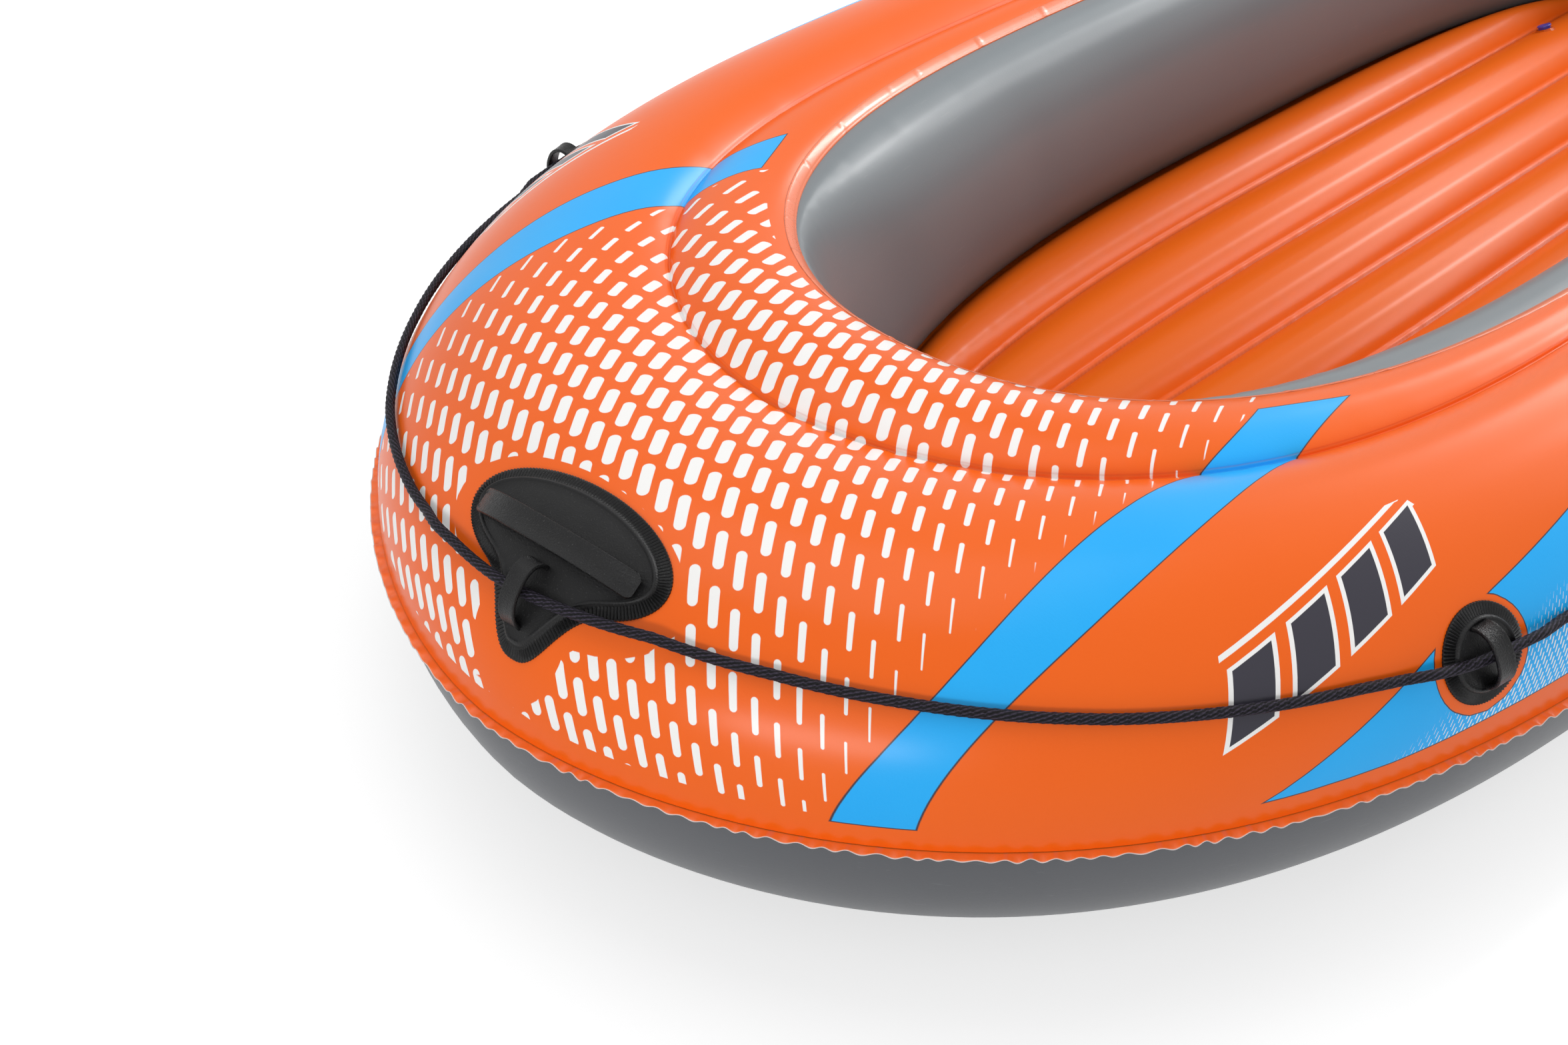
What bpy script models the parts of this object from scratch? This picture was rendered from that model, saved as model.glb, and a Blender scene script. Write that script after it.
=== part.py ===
"""Inflatable boat for one person, welded from thin vinyl sheet, with black rubber fittings and a grab rope.

Metres, +Z up. The bow points to -Y and the port side to +X. The origin is on the ground under the
middle of the hull, and X = 0 is the plane that the two sides mirror each other in.
"""
import math
from collections import namedtuple

import bmesh
import bpy
from mathutils import Matrix, Vector
from mathutils.bvhtree import BVHTree

# Hull, seen from above: from the middle of the boat out to the outer seam
HULL_WIDTH = 0.930
HULL_BOW_LENGTH = 1.055
HULL_STERN_LENGTH = 1.055
# Seen from above: how far the crease and the cockpit edge lie inside the outer seam. At the sides
# they are shares of the hull's width.
BOW_TUBE_WIDTH = 0.238
BOW_DECK_WIDTH = 0.351
SIDE_TUBE_share = 0.1613
SIDE_DECK_share = 0.1990
STERN_TUBE_WIDTH = 0.165
STERN_DECK_WIDTH = 0.245
# Heights of the main tube
TUBE_HEIGHT = 0.2635
SEAM_HEIGHT = 0.139
TUBE_SHOULDER = 0.1375
CREASE_DROP = 0.017
RIM_DROP = 0.021
# Fullness of the plan curves: side power and end power of each superellipse
SEAM_SIDE_POWER = 1.78
SEAM_END_POWER = 3.99
CREASE_SIDE_POWER = 1.85
CREASE_END_POWER = 4.74
RIM_SIDE_POWER = 2.11
RIM_END_POWER = 3.93
FLOOR_BOW_POWER = 2.6

# Vinyl sheet
SKIN = 0.0006
GAP = 0.0003
FLANGE_WIDTH = 0.0065
FLANGE_THICKNESS = 0.0010
BAND_WIDTH = 0.008
WALL_SIDE_BULGE = 0.051
WALL_END_BULGE = 0.010
WALL_FADE_POWER = 8
WALL_FULLNESS = 2.35
INNER_TUBE_RISE_share = 0.17

# Floor
FLOOR_INSET = 0.001
FLOOR_BOW_INSET = 0.030
FLOOR_STERN_INSET = 0.020
FLOOR_WELD_HEIGHT = 0.034
FLOOR_RIBS = 6
FLOOR_MARGIN = 0.027
RIB_RISE = 0.024
RIB_DROP = 0.016
RIB_END_LENGTH = 0.034
STRAIGHT_RIBS_share = 0.78

# Mesh fineness
QUARTER_STATIONS = 13
RIB_STEPS = 4
RIB_UNDER_STEPS = 3
FLOOR_ROWS = 14

Plan = namedtuple("Plan", "half_width bow_length stern_length side_power bow_power stern_power")
Station = namedtuple("Station", "x y inward_x inward_y crease_at rim_at floor_at")

HALF_WIDTH = HULL_WIDTH / 2
SIDE_TUBE_WIDTH = SIDE_TUBE_share * HULL_WIDTH
SIDE_DECK_WIDTH = SIDE_DECK_share * HULL_WIDTH
SEAM = Plan(HALF_WIDTH, HULL_BOW_LENGTH, HULL_STERN_LENGTH,
            SEAM_SIDE_POWER, SEAM_END_POWER, SEAM_END_POWER)
CREASE = Plan(HALF_WIDTH - SIDE_TUBE_WIDTH, HULL_BOW_LENGTH - BOW_TUBE_WIDTH,
              HULL_STERN_LENGTH - STERN_TUBE_WIDTH, CREASE_SIDE_POWER, CREASE_END_POWER, CREASE_END_POWER)
RIM = Plan(HALF_WIDTH - SIDE_DECK_WIDTH, HULL_BOW_LENGTH - BOW_DECK_WIDTH,
           HULL_STERN_LENGTH - STERN_DECK_WIDTH, RIM_SIDE_POWER, RIM_END_POWER, RIM_END_POWER)
FLOOR = Plan(RIM.half_width - FLOOR_INSET, RIM.bow_length - FLOOR_BOW_INSET,
             RIM.stern_length - FLOOR_STERN_INSET, RIM_SIDE_POWER, FLOOR_BOW_POWER, RIM_END_POWER)


def new_collection(name):
    collection = bpy.data.collections.new(name)
    bpy.context.scene.collection.children.link(collection)
    return collection


for old in list(bpy.data.objects):
    bpy.data.objects.remove(old, do_unlink=True)
BOAT = new_collection("inflatable_boat")
CUTTERS = new_collection("cutters")


# Materials

def material(name, colour, roughness, metallic=0.0):
    made = bpy.data.materials.new(name)
    made.use_nodes = True
    shader = made.node_tree.nodes["Principled BSDF"]
    shader.inputs["Base Color"].default_value = (*colour, 1.0)
    shader.inputs["Roughness"].default_value = roughness
    shader.inputs["Metallic"].default_value = metallic
    made.diffuse_color = (*colour, 1.0)
    return made


ORANGE_VINYL = material("orange_vinyl", (0.87, 0.16, 0.03), 0.38)
FLOOR_VINYL = material("floor_vinyl", (0.80, 0.13, 0.02), 0.30)
GREY_VINYL = material("grey_vinyl", (0.14, 0.145, 0.15), 0.42)
BLACK_RUBBER = material("black_rubber", (0.012, 0.012, 0.012), 0.55)
ROPE_FIBRE = material("rope_fibre", (0.012, 0.011, 0.017), 0.80)
VALVE_VINYL = material("valve_vinyl", (0.13, 0.14, 0.35), 0.40)
CLEAR_RUBBER = material("valve_rubber", (0.55, 0.56, 0.58), 0.45)


# Plan curves

def plan_length(plan, y):
    return plan.bow_length if y < 0 else plan.stern_length


def plan_power(plan, y):
    return plan.bow_power if y < 0 else plan.stern_power


def plan_value(plan, x, y):
    """One on the curve, less inside it and more outside it."""
    across = (abs(x) / plan.half_width) ** plan.side_power
    along = (abs(y) / plan_length(plan, y)) ** plan_power(plan, y)
    return across + along


def plan_point(plan, angle):
    """The point of the curve at an angle that starts at the bow and turns towards port."""
    side, fore = math.sin(angle), -math.cos(angle)
    x = math.copysign(abs(side) ** (2 / plan.side_power), side) * plan.half_width
    y = math.copysign(abs(fore) ** (2 / plan_power(plan, fore)), fore) * plan_length(plan, fore)
    return x, y


def plan_half_width(plan, y):
    left = 1 - (abs(y) / plan_length(plan, y)) ** plan_power(plan, y)
    return plan.half_width * max(left, 0) ** (1 / plan.side_power)


def plan_outward(plan, x, y):
    """Unit normal of the curve, pointing away from the middle of the boat."""
    length, power = plan_length(plan, y), plan_power(plan, y)
    across = plan.side_power * (abs(x) / plan.half_width) ** (plan.side_power - 1) / plan.half_width
    along = power * (abs(y) / length) ** (power - 1) / length
    normal = Vector((math.copysign(across, x), math.copysign(along, y)))
    return normal.normalized()


def plan_crossing(plan, x, y, dx, dy):
    """Distance from a point to the curve along a direction that crosses it once."""
    near, far = 0.0, HULL_WIDTH
    starts_inside = plan_value(plan, x, y) < 1
    for _ in range(40):
        middle = (near + far) / 2
        is_inside = plan_value(plan, x + dx * middle, y + dy * middle) < 1
        if is_inside == starts_inside:
            near = middle
        else:
            far = middle
    return near


def station(angle):
    """A line across the hull, square to the crease, with the distances from the seam along it."""
    cx, cy = plan_point(CREASE, angle)
    out = plan_outward(CREASE, cx, cy)
    crease_at = plan_crossing(SEAM, cx, cy, out.x, out.y)
    rim_at = crease_at + plan_crossing(RIM, cx, cy, -out.x, -out.y)
    floor_at = crease_at + plan_crossing(FLOOR, cx, cy, -out.x, -out.y)
    return Station(cx + out.x * crease_at, cy + out.y * crease_at, -out.x, -out.y,
                   crease_at, rim_at, floor_at)


def quarter_angles(count, towards_stern):
    """Angles whose lines cut a quarter of the hull evenly, from the side to one end."""
    fine = 300
    start = math.pi / 2
    end = math.pi if towards_stern else 0.0
    angles = [start + (end - start) * i / fine for i in range(fine + 1)]
    lines = [station(angle) for angle in angles]
    middles = [(at.x + at.inward_x * at.crease_at / 3, at.y + at.inward_y * at.crease_at / 3) for at in lines]
    travelled = [0.0]
    for before, after in zip(middles, middles[1:]):
        travelled.append(travelled[-1] + math.dist(before, after))
    chosen = []
    for i in range(count + 1):
        wanted = travelled[-1] * i / count
        at = min(range(fine + 1), key=lambda k: abs(travelled[k] - wanted))
        chosen.append(angles[at])
    return chosen


def ring_of_angles():
    """Angles of the stations round the hull, counter-clockwise from above, from the bow to the bow."""
    bow = quarter_angles(QUARTER_STATIONS, False)[::-1]
    stern = quarter_angles(QUARTER_STATIONS, True)
    port = bow[:-1] + stern
    starboard = [2 * math.pi - angle for angle in port[:-1]][::-1]
    return port + starboard


ANGLES = ring_of_angles()
STATION_COUNT = len(ANGLES) - 1
STATIONS = [station(angle) for angle in ANGLES[:-1]]


def station_between(place_u):
    """The station at any place round the hull, counted in stations from the bow."""
    place_u %= STATION_COUNT
    first = math.floor(place_u)
    return station(ANGLES[first] + (ANGLES[first + 1] - ANGLES[first]) * (place_u - first))


# Cross sections: lists of (distance inward from the seam, height)

def shoulder_at(at):
    """Where the main tube is highest: a little outside the crease on a narrow stretch."""
    return min(TUBE_SHOULDER, at.crease_at * SHOULDER_share)


SHOULDER_share = 0.70
CREASE_SHARPNESS = 2.4
BULGE_FULLNESS = 0.75
CREASE_HEIGHT = TUBE_HEIGHT - CREASE_DROP
RIM_HEIGHT = TUBE_HEIGHT - RIM_DROP
TOP_START = SEAM_HEIGHT + FLANGE_THICKNESS / 2 + GAP
BOTTOM_START = SEAM_HEIGHT - FLANGE_THICKNESS / 2 - GAP


def outer_arc(at, steps):
    """The tube's upper outer side, from the seam flange to the top of the tube."""
    shoulder = shoulder_at(at)
    rise = TUBE_HEIGHT - TOP_START
    turns = [math.pi / 2 * i / steps for i in range(steps + 1)]
    return [(shoulder * (1 - math.cos(turn)), TOP_START + rise * math.sin(turn)) for turn in turns]


def deck_height(at, inward):
    """Height of the top skin between the top of the tube and the cockpit edge."""
    shoulder = shoulder_at(at)
    if inward <= at.crease_at:
        share = (inward - shoulder) / (at.crease_at - shoulder)
        return TUBE_HEIGHT - CREASE_DROP * max(share, 0) ** CREASE_SHARPNESS
    width = at.rim_at - at.crease_at
    share = min((inward - at.crease_at) / width, 1)
    line = CREASE_HEIGHT + (RIM_HEIGHT - CREASE_HEIGHT) * share
    bulge = (1 - (2 * share - 1) ** 2) ** BULGE_FULLNESS
    return line + INNER_TUBE_RISE_share * width * bulge


def top_section(at, outer_steps=6, tube_steps=3, bulge_steps=4):
    points = outer_arc(at, outer_steps)
    shoulder = shoulder_at(at)
    for i in range(1, tube_steps + 1):
        inward = shoulder + (at.crease_at - shoulder) * math.sin(math.pi / 2 * i / tube_steps)
        points.append((inward, deck_height(at, inward)))
    for i in range(1, bulge_steps + 1):
        inward = at.crease_at + (at.rim_at - at.crease_at) * i / bulge_steps
        points.append((inward, deck_height(at, inward)))
    return points


FLOOR_LAP = FLOOR_MARGIN / 10
BOTTOM_RISE_LENGTH = 0.033
WALL_FOOT = FLOOR_WELD_HEIGHT + SKIN + 2 * GAP
BOTTOM_END = FLOOR_WELD_HEIGHT - 2 * SKIN - 2 * GAP


def wall_section(at, steps=6):
    """The cockpit wall, a full round from just under the cockpit edge down to the floor's margin."""
    start_at, start_height = at.rim_at, RIM_HEIGHT - SKIN - GAP
    end_at = at.floor_at + FLOOR_LAP
    sideways = abs(at.inward_x) ** WALL_FADE_POWER
    bulge = WALL_END_BULGE + (WALL_SIDE_BULGE - WALL_END_BULGE) * sideways
    points = []
    for i in range(steps + 1):
        turn = math.pi * i / steps
        out = max(math.sin(turn), 0) ** (2 / WALL_FULLNESS)
        fall = math.copysign(abs(math.cos(turn)) ** (2 / WALL_FULLNESS), math.cos(turn))
        share = (1 - fall) / 2
        inward = start_at + (end_at - start_at) * share + bulge * out
        points.append((inward, start_height + (WALL_FOOT - start_height) * share))
    return points


def bottom_section(at, outer_steps=4):
    """The underside, from the seam flange round the tube's lower side, flat, and up to the floor."""
    points = []
    for i in range(outer_steps + 1):
        turn = math.pi / 2 * i / outer_steps
        points.append((TUBE_SHOULDER * (1 - math.cos(turn)), BOTTOM_START * (1 - math.sin(turn))))
    end_at = at.floor_at + FLOOR_LAP
    flat_end = max(end_at - BOTTOM_RISE_LENGTH, TUBE_SHOULDER + GAP)
    points.append((flat_end, 0.0))
    points.append((end_at, BOTTOM_END))
    return points


def baffle_section(at):
    """The web from the crease to the underside."""
    return [(at.crease_at, CREASE_HEIGHT - 2 * SKIN - 2 * GAP), (at.crease_at, SKIN + GAP)]


def place(at, inward, height):
    return Vector((at.x + at.inward_x * inward, at.y + at.inward_y * inward, height))


# Mesh helpers

def add_object(name, mesh, look, collection=BOAT):
    made = bpy.data.objects.new(name, mesh)
    mesh.materials.clear()
    mesh.materials.append(look)
    collection.objects.link(made)
    return made


def mesh_from_bmesh(name, shape, sharp_angle=math.radians(40)):
    mesh = bpy.data.meshes.new(name)
    shape.to_mesh(mesh)
    shape.free()
    mesh.shade_smooth()
    mesh.set_sharp_from_angle(angle=sharp_angle)
    return mesh


def loft(rows, flip=False, close_rows=True, close_columns=False):
    """A sheet of quads through rows of points; flip turns its faces over."""
    shape = bmesh.new()
    grid = [[shape.verts.new(point) for point in row] for row in rows]
    row_count, column_count = len(grid), len(grid[0])
    row_steps = row_count if close_rows else row_count - 1
    column_steps = column_count if close_columns else column_count - 1
    for i in range(row_steps):
        for j in range(column_steps):
            following, beside = (i + 1) % row_count, (j + 1) % column_count
            corners = [grid[i][j], grid[following][j], grid[following][beside], grid[i][beside]]
            shape.faces.new(corners[::-1] if flip else corners)
    return shape


def skin_object(name, shape, look, thickness=SKIN, offset=-1.0):
    """A sheet with its thickness, laid behind its faces unless the offset says otherwise."""
    made = add_object(name, mesh_from_bmesh(name, shape), look)
    solid = made.modifiers.new("thickness", "SOLIDIFY")
    solid.thickness = thickness
    solid.offset = offset
    return made


def hull_sheet(name, section, look, flip=False, offset=-1.0):
    rows = [[place(at, inward, height) for inward, height in section(at)] for at in STATIONS]
    return skin_object(name, loft(rows, flip), look, offset=offset)


# Hull skins

def make_flange():
    """The weld margin of the two hull skins, a flat ring that stands out all round."""
    low, high = SEAM_HEIGHT - FLANGE_THICKNESS / 2, SEAM_HEIGHT + FLANGE_THICKNESS / 2
    inner, outer = 3 * SKIN, -FLANGE_WIDTH
    corners = [(inner, low), (outer, low), (outer, high), (inner, high)]
    rows = [[place(at, inward, height) for inward, height in corners] for at in STATIONS]
    shape = loft(rows, close_columns=True)
    return add_object("outer_seam_flange", mesh_from_bmesh("outer_seam_flange", shape), GREY_VINYL)


def make_edge_band():
    """The narrow strip welded over the joint of the top skin and the cockpit wall."""
    def section(at):
        width = at.rim_at - at.crease_at
        inwards = [at.rim_at - min(BAND_WIDTH, width / 2) * share for share in (1, 0)]
        lift = SKIN + GAP
        upper = [(inward, deck_height(at, inward) + lift) for inward in inwards]
        return upper + [(at.rim_at + SKIN + GAP, RIM_HEIGHT)]
    return hull_sheet("cockpit_edge_band", section, ORANGE_VINYL)


def make_hull():
    hull_sheet("hull_top_skin", top_section, ORANGE_VINYL)
    hull_sheet("hull_bottom_skin", bottom_section, GREY_VINYL, flip=True)
    hull_sheet("cockpit_wall_skin", wall_section, GREY_VINYL)
    hull_sheet("tube_baffle", baffle_section, GREY_VINYL, offset=0.0)
    make_flange()
    make_edge_band()


# Floor

FLOOR_END_CUT_share = 0.996


def floor_rows():
    """Places along the floor, closer together near its two ends."""
    rows = []
    for i in range(FLOOR_ROWS + 1):
        share = -math.cos(math.pi * i / FLOOR_ROWS)
        rows.append(share * FLOOR_END_CUT_share * plan_length(FLOOR, share))
    return rows


MARGIN_share = FLOOR_MARGIN / FLOOR.half_width
INNER_RIBS_share = (1 - MARGIN_share) * (FLOOR_RIBS - 2) / FLOOR_RIBS


def rib_columns(steps):
    """Shares of the half width, and the share of the rib's rise at each, from starboard to port."""
    count = FLOOR_RIBS * steps
    columns = [(-1.0, 0.0)]
    for i in range(count + 1):
        within = (i % steps) / steps
        columns.append(((2 * i / count - 1) * (1 - MARGIN_share), 4 * within * (1 - within)))
    return columns + [(1.0, 0.0)]


def column_x(across, y):
    """The ribs draw together towards the bow; towards the stern the inner ones run straight."""
    half = plan_half_width(FLOOR, y)
    spread = half if y < 0 else min(FLOOR.half_width, half / STRAIGHT_RIBS_share)
    if abs(across) <= INNER_RIBS_share:
        return across * spread
    share = (abs(across) - INNER_RIBS_share) / (1 - INNER_RIBS_share)
    start = INNER_RIBS_share * spread
    return math.copysign(start + (half - start) * share, across)


def edge_fade(x, y):
    """The ribs flatten to the weld plane over their last stretch towards the floor's outline."""
    out = plan_outward(FLOOR, x, y)
    inset = plan_crossing(FLOOR, x, y, out.x, out.y)
    share = min(max((inset - FLOOR_MARGIN) / RIB_END_LENGTH, 0), 1)
    return math.sqrt(1 - (1 - share) ** 2)


def floor_surface(level, swing, steps):
    rows = []
    for y in floor_rows():
        row = []
        for across, rise in rib_columns(steps):
            x = column_x(across, y)
            swell = rise * swing * edge_fade(x, y) if rise else 0.0
            row.append(Vector((x, y, level + swell)))
        rows.append(row)
    return rows


def make_floor():
    above, below = FLOOR_WELD_HEIGHT + SKIN + GAP / 2, FLOOR_WELD_HEIGHT - SKIN - GAP / 2
    top = loft(floor_surface(above, RIB_RISE, RIB_STEPS), flip=True, close_rows=False)
    skin_object("floor_top_skin", top, FLOOR_VINYL)
    bottom = loft(floor_surface(below, -RIB_DROP, RIB_UNDER_STEPS), close_rows=False)
    skin_object("floor_bottom_skin", bottom, GREY_VINYL)


# Seats on the skins: a frame on the surface, and a way to bend flat shapes onto it

Seat = namedtuple("Seat", "origin along up normal tree")
SEAT_REACH = 0.050


FINER = 6


def skin_tree(name):
    """The surface of a finished skin."""
    bpy.context.view_layer.update()
    graph = bpy.context.evaluated_depsgraph_get()
    return BVHTree.FromObject(bpy.data.objects[name], graph)


def smooth_top_tree():
    """The hull's top as the curves give it, which the fittings and the rope lie on."""
    stations = [station_between(i / FINER) for i in range(STATION_COUNT * FINER)]
    rows = [[place(at, inward, height) for inward, height in top_section(at, 24, 8, 12)] for at in stations]
    return BVHTree.FromBMesh(loft(rows))


def seat_from(tree, hit, normal, along):
    """The frame of a point of the skin; along lies level and up climbs the skin."""
    along = (along - normal * along.dot(normal)).normalized()
    return Seat(hit, along, normal.cross(along), normal, tree)


def on_seat(seat, along, up, lift):
    """A point over the skin: its place in the seat's plane, dropped to the skin and lifted off it."""
    start = seat.origin + seat.along * along + seat.up * up + seat.normal * SEAT_REACH
    hit = seat.tree.ray_cast(start, -seat.normal)[0]
    return hit + seat.normal * lift


def bend_onto(seat, shape):
    """Moves every vertex of a flat shape, whose Z is its lift, onto the seat."""
    for vertex in shape.verts:
        vertex.co = on_seat(seat, vertex.co.x, vertex.co.y, vertex.co.z)


def even_outline(outline, segments):
    """Points of a closed outline, evenly spaced along it."""
    fine = 720
    points = [outline(2 * math.pi * i / fine) for i in range(fine + 1)]
    travelled = [0.0]
    for before, after in zip(points, points[1:]):
        travelled.append(travelled[-1] + math.dist(before, after))
    chosen = []
    for i in range(segments):
        wanted = travelled[-1] * i / segments
        chosen.append(points[min(range(fine), key=lambda k: abs(travelled[k] - wanted))])
    return chosen


def disc_shape(outline, rings, segments):
    """A closed plate from rings of (share of the outline, lift), from the rim to the middle and back."""
    shape = bmesh.new()
    points = even_outline(outline, segments)
    rows = [[shape.verts.new((x * share, y * share, lift)) for x, y in points] for share, lift in rings]
    for outer, inner in zip(rows, rows[1:]):
        for i in range(segments):
            j = (i + 1) % segments
            shape.faces.new((outer[i], outer[j], inner[j], inner[i]))
    top = shape.verts.new((0, 0, rings[-1][1]))
    bottom = shape.verts.new((0, 0, rings[0][1]))
    for i in range(segments):
        j = (i + 1) % segments
        shape.faces.new((rows[-1][i], rows[-1][j], top))
        shape.faces.new((rows[0][j], rows[0][i], bottom))
    return shape


def strip_shape(path, width, thickness):
    """A flat band that follows a path of (up, lift) with square ends, its width along X."""
    shape = bmesh.new()
    rows = []
    for i, (up, lift) in enumerate(path):
        before, after = path[max(i - 1, 0)], path[min(i + 1, len(path) - 1)]
        run, climb = after[0] - before[0], after[1] - before[1]
        size = math.hypot(run, climb)
        off_up, off_lift = -climb / size * thickness, run / size * thickness
        row = [(-width / 2, up, lift), (width / 2, up, lift),
               (width / 2, up + off_up, lift + off_lift), (-width / 2, up + off_up, lift + off_lift)]
        rows.append([shape.verts.new(corner) for corner in row])
    for first, second in zip(rows, rows[1:]):
        for i in range(4):
            j = (i + 1) % 4
            shape.faces.new((first[i], first[j], second[j], second[i]))
    shape.faces.new(rows[0][::-1])
    shape.faces.new(rows[-1])
    bmesh.ops.recalc_face_normals(shape, faces=shape.faces)
    return shape


def cut(target, cutter, operation="DIFFERENCE"):
    trim = target.modifiers.new("cut", "BOOLEAN")
    trim.operation = operation
    trim.solver = "EXACT"
    trim.object = cutter


def as_cutter(made):
    made.hide_render = True
    made.display_type = "WIRE"
    return made


# Rubber plates with a rope loop, welded to the main tube

PLATE_GAP = 0.0010
PLATE_EDGE = 0.0012
PLATE_FIELD = 0.0028
FIELD_share = 0.84
LOOP_WIDTH = 0.013
LOOP_SPAN = 0.034
LOOP_OPENING = 0.0115
LOOP_THICKNESS = 0.0024
LOOP_FULLNESS = 2.6
LOOP_STEPS = 10

HANDLE_PLATE_WIDTH = 0.158
HANDLE_PLATE_DEPTH = 0.074
HANDLE_LOBE_DROP = 0.073
HANDLE_LOBE_WIDTH = 0.054
HANDLE_LOBE_OFFSET = 0.005
HANDLE_LOBE_FULLNESS = 2.8
HANDLE_LOOP_DROP = 0.038
HANDLE_STRAP_DROP = 0.004
HANDLE_HEIGHT_share = 0.8302
HANDLE_OFFSET = 0.012
HANDLE_TURN = math.radians(4)

GROMMET_DIAMETER = 0.060
GROMMET_HEIGHT_share = 0.4867
GROMMET_PLACE_share = 0.62


def plate_rings(inner_shares):
    lift = PLATE_GAP
    rings = [(share, lift) for share in inner_shares[::-1]]
    rings += [(1, lift), (1, lift + PLATE_EDGE), (FIELD_share, lift + PLATE_EDGE)]
    rings += [(FIELD_share, lift + PLATE_FIELD)]
    rings += [(share, lift + PLATE_FIELD) for share in inner_shares]
    return rings


def handle_outline(turn):
    """An oval with a lobe on its lower side."""
    x = math.cos(turn) * HANDLE_PLATE_WIDTH / 2
    y = math.sin(turn) * HANDLE_PLATE_DEPTH / 2
    if y < 0:
        away = abs(x - HANDLE_LOBE_OFFSET) / (HANDLE_LOBE_WIDTH / 2)
        reach = math.exp(-away ** HANDLE_LOBE_FULLNESS)
        y -= (HANDLE_LOBE_DROP - HANDLE_PLATE_DEPTH / 2) * reach
    return x, y


def grommet_outline(turn):
    radius = GROMMET_DIAMETER / 2
    return math.cos(turn) * radius, math.sin(turn) * radius


def loop_shape(middle_up):
    """The arch that holds the rope, rooted a little inside the plate so that both are one moulding."""
    root = PLATE_GAP + PLATE_FIELD - PLATE_EDGE / 2
    rise = LOOP_OPENING + PLATE_EDGE / 2
    path = []
    for i in range(LOOP_STEPS + 1):
        turn = math.pi * i / LOOP_STEPS
        across, high = -math.cos(turn), math.sin(turn)
        across = math.copysign(abs(across) ** (2 / LOOP_FULLNESS), across)
        path.append((middle_up + across * LOOP_SPAN / 2, root + rise * high ** (2 / LOOP_FULLNESS)))
    return strip_shape(path, LOOP_WIDTH, LOOP_THICKNESS)


def rubber_plate(name, seat, outline, segments, inner_shares, loop_up):
    """One moulding: the plate and the rope loop that stands on it."""
    shape = disc_shape(outline, plate_rings(inner_shares), segments)
    bend_onto(seat, shape)
    plate = add_object(name, mesh_from_bmesh(name, shape), BLACK_RUBBER)
    arch = loop_shape(loop_up)
    bend_onto(seat, arch)
    loop = add_object(name + "_loop_guide", mesh_from_bmesh(name + "_loop", arch), BLACK_RUBBER, CUTTERS)
    cut(plate, as_cutter(loop), "UNION")
    return plate


STRAP_LENGTH = 0.126
STRAP_WIDTH = 0.0160
STRAP_THICKNESS = 0.0032
STRAP_CLEARANCE = 0.009
STRAP_STEPS = 12
STRAP_GAP = 0.0008


def handle_strap(name, seat):
    """The grip: a flat bar that arches over the plate and comes down on it at both ends."""
    foot = PLATE_GAP + PLATE_FIELD + STRAP_GAP
    path = []
    for i in range(STRAP_STEPS + 1):
        share = 2 * i / STRAP_STEPS - 1
        path.append((share * STRAP_LENGTH / 2, foot + STRAP_CLEARANCE * (1 - share ** 4)))
    shape = strip_shape(path, STRAP_WIDTH, STRAP_THICKNESS)
    for vertex in shape.verts:
        vertex.co.x, vertex.co.y = vertex.co.y, -vertex.co.x - HANDLE_STRAP_DROP
    bend_onto(seat, shape)
    add_object(name, mesh_from_bmesh(name, shape), BLACK_RUBBER)


def side_height(share):
    """The height at a share of the climb from the outer seam to the top of the tube."""
    return TOP_START + (TUBE_HEIGHT - TOP_START) * share


def handle_seat(tree, end):
    """The seat of a handle plate at the bow (end -1) or the stern (end 1)."""
    far_off = plan_length(SEAM, end) + SEAT_REACH
    start = Vector((-end * HANDLE_OFFSET, end * far_off, side_height(HANDLE_HEIGHT_share)))
    hit = tree.ray_cast(start, Vector((0, -end, 0)))[0]
    lean = math.asin(HANDLE_HEIGHT_share)
    normal = Vector((0, end * math.cos(lean), math.sin(lean)))
    turn = Matrix.Rotation(HANDLE_TURN, 3, normal)
    return seat_from(tree, hit, normal, turn @ Vector((-end, 0, 0)))


def grommet_seat(tree, side, y):
    start = Vector((side * (HALF_WIDTH + SEAT_REACH), y, side_height(GROMMET_HEIGHT_share)))
    hit = tree.ray_cast(start, Vector((-side, 0, 0)))[0]
    out = plan_outward(SEAM, hit.x, hit.y)
    lean = math.asin(GROMMET_HEIGHT_share)
    normal = Vector((out.x * math.cos(lean), out.y * math.cos(lean), math.sin(lean)))
    return seat_from(tree, hit, normal, Vector((0, side, 0)))


GROMMET_PLACES = {
    "fore": -GROMMET_PLACE_share * HULL_BOW_LENGTH,
    "mid": 0.0,
    "aft": GROMMET_PLACE_share * HULL_STERN_LENGTH}


def make_rubber_fittings(tree):
    """Returns the middle of every rope loop with the length of rope that lies on its plate."""
    held = []
    for word, end in (("bow", -1), ("stern", 1)):
        seat = handle_seat(tree, end)
        rubber_plate(word + "_handle_plate", seat, handle_outline, 34, (0.64, 0.43, 0.22), -HANDLE_LOOP_DROP)
        handle_strap(word + "_handle_strap", seat)
        held.append((on_seat(seat, 0, -HANDLE_LOOP_DROP, 0), HANDLE_PLATE_WIDTH))
    for side_word, side in (("port", 1), ("starboard", -1)):
        for place_word, y in GROMMET_PLACES.items():
            seat = grommet_seat(tree, side, y)
            name = f"{side_word}_{place_word}_rope_grommet"
            rubber_plate(name, seat, grommet_outline, 20, (0.50,), 0.0)
            held.append((seat.origin, GROMMET_DIAMETER))
    return held


# Grab rope, through every loop round the boat, and the knot that closes it

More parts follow.
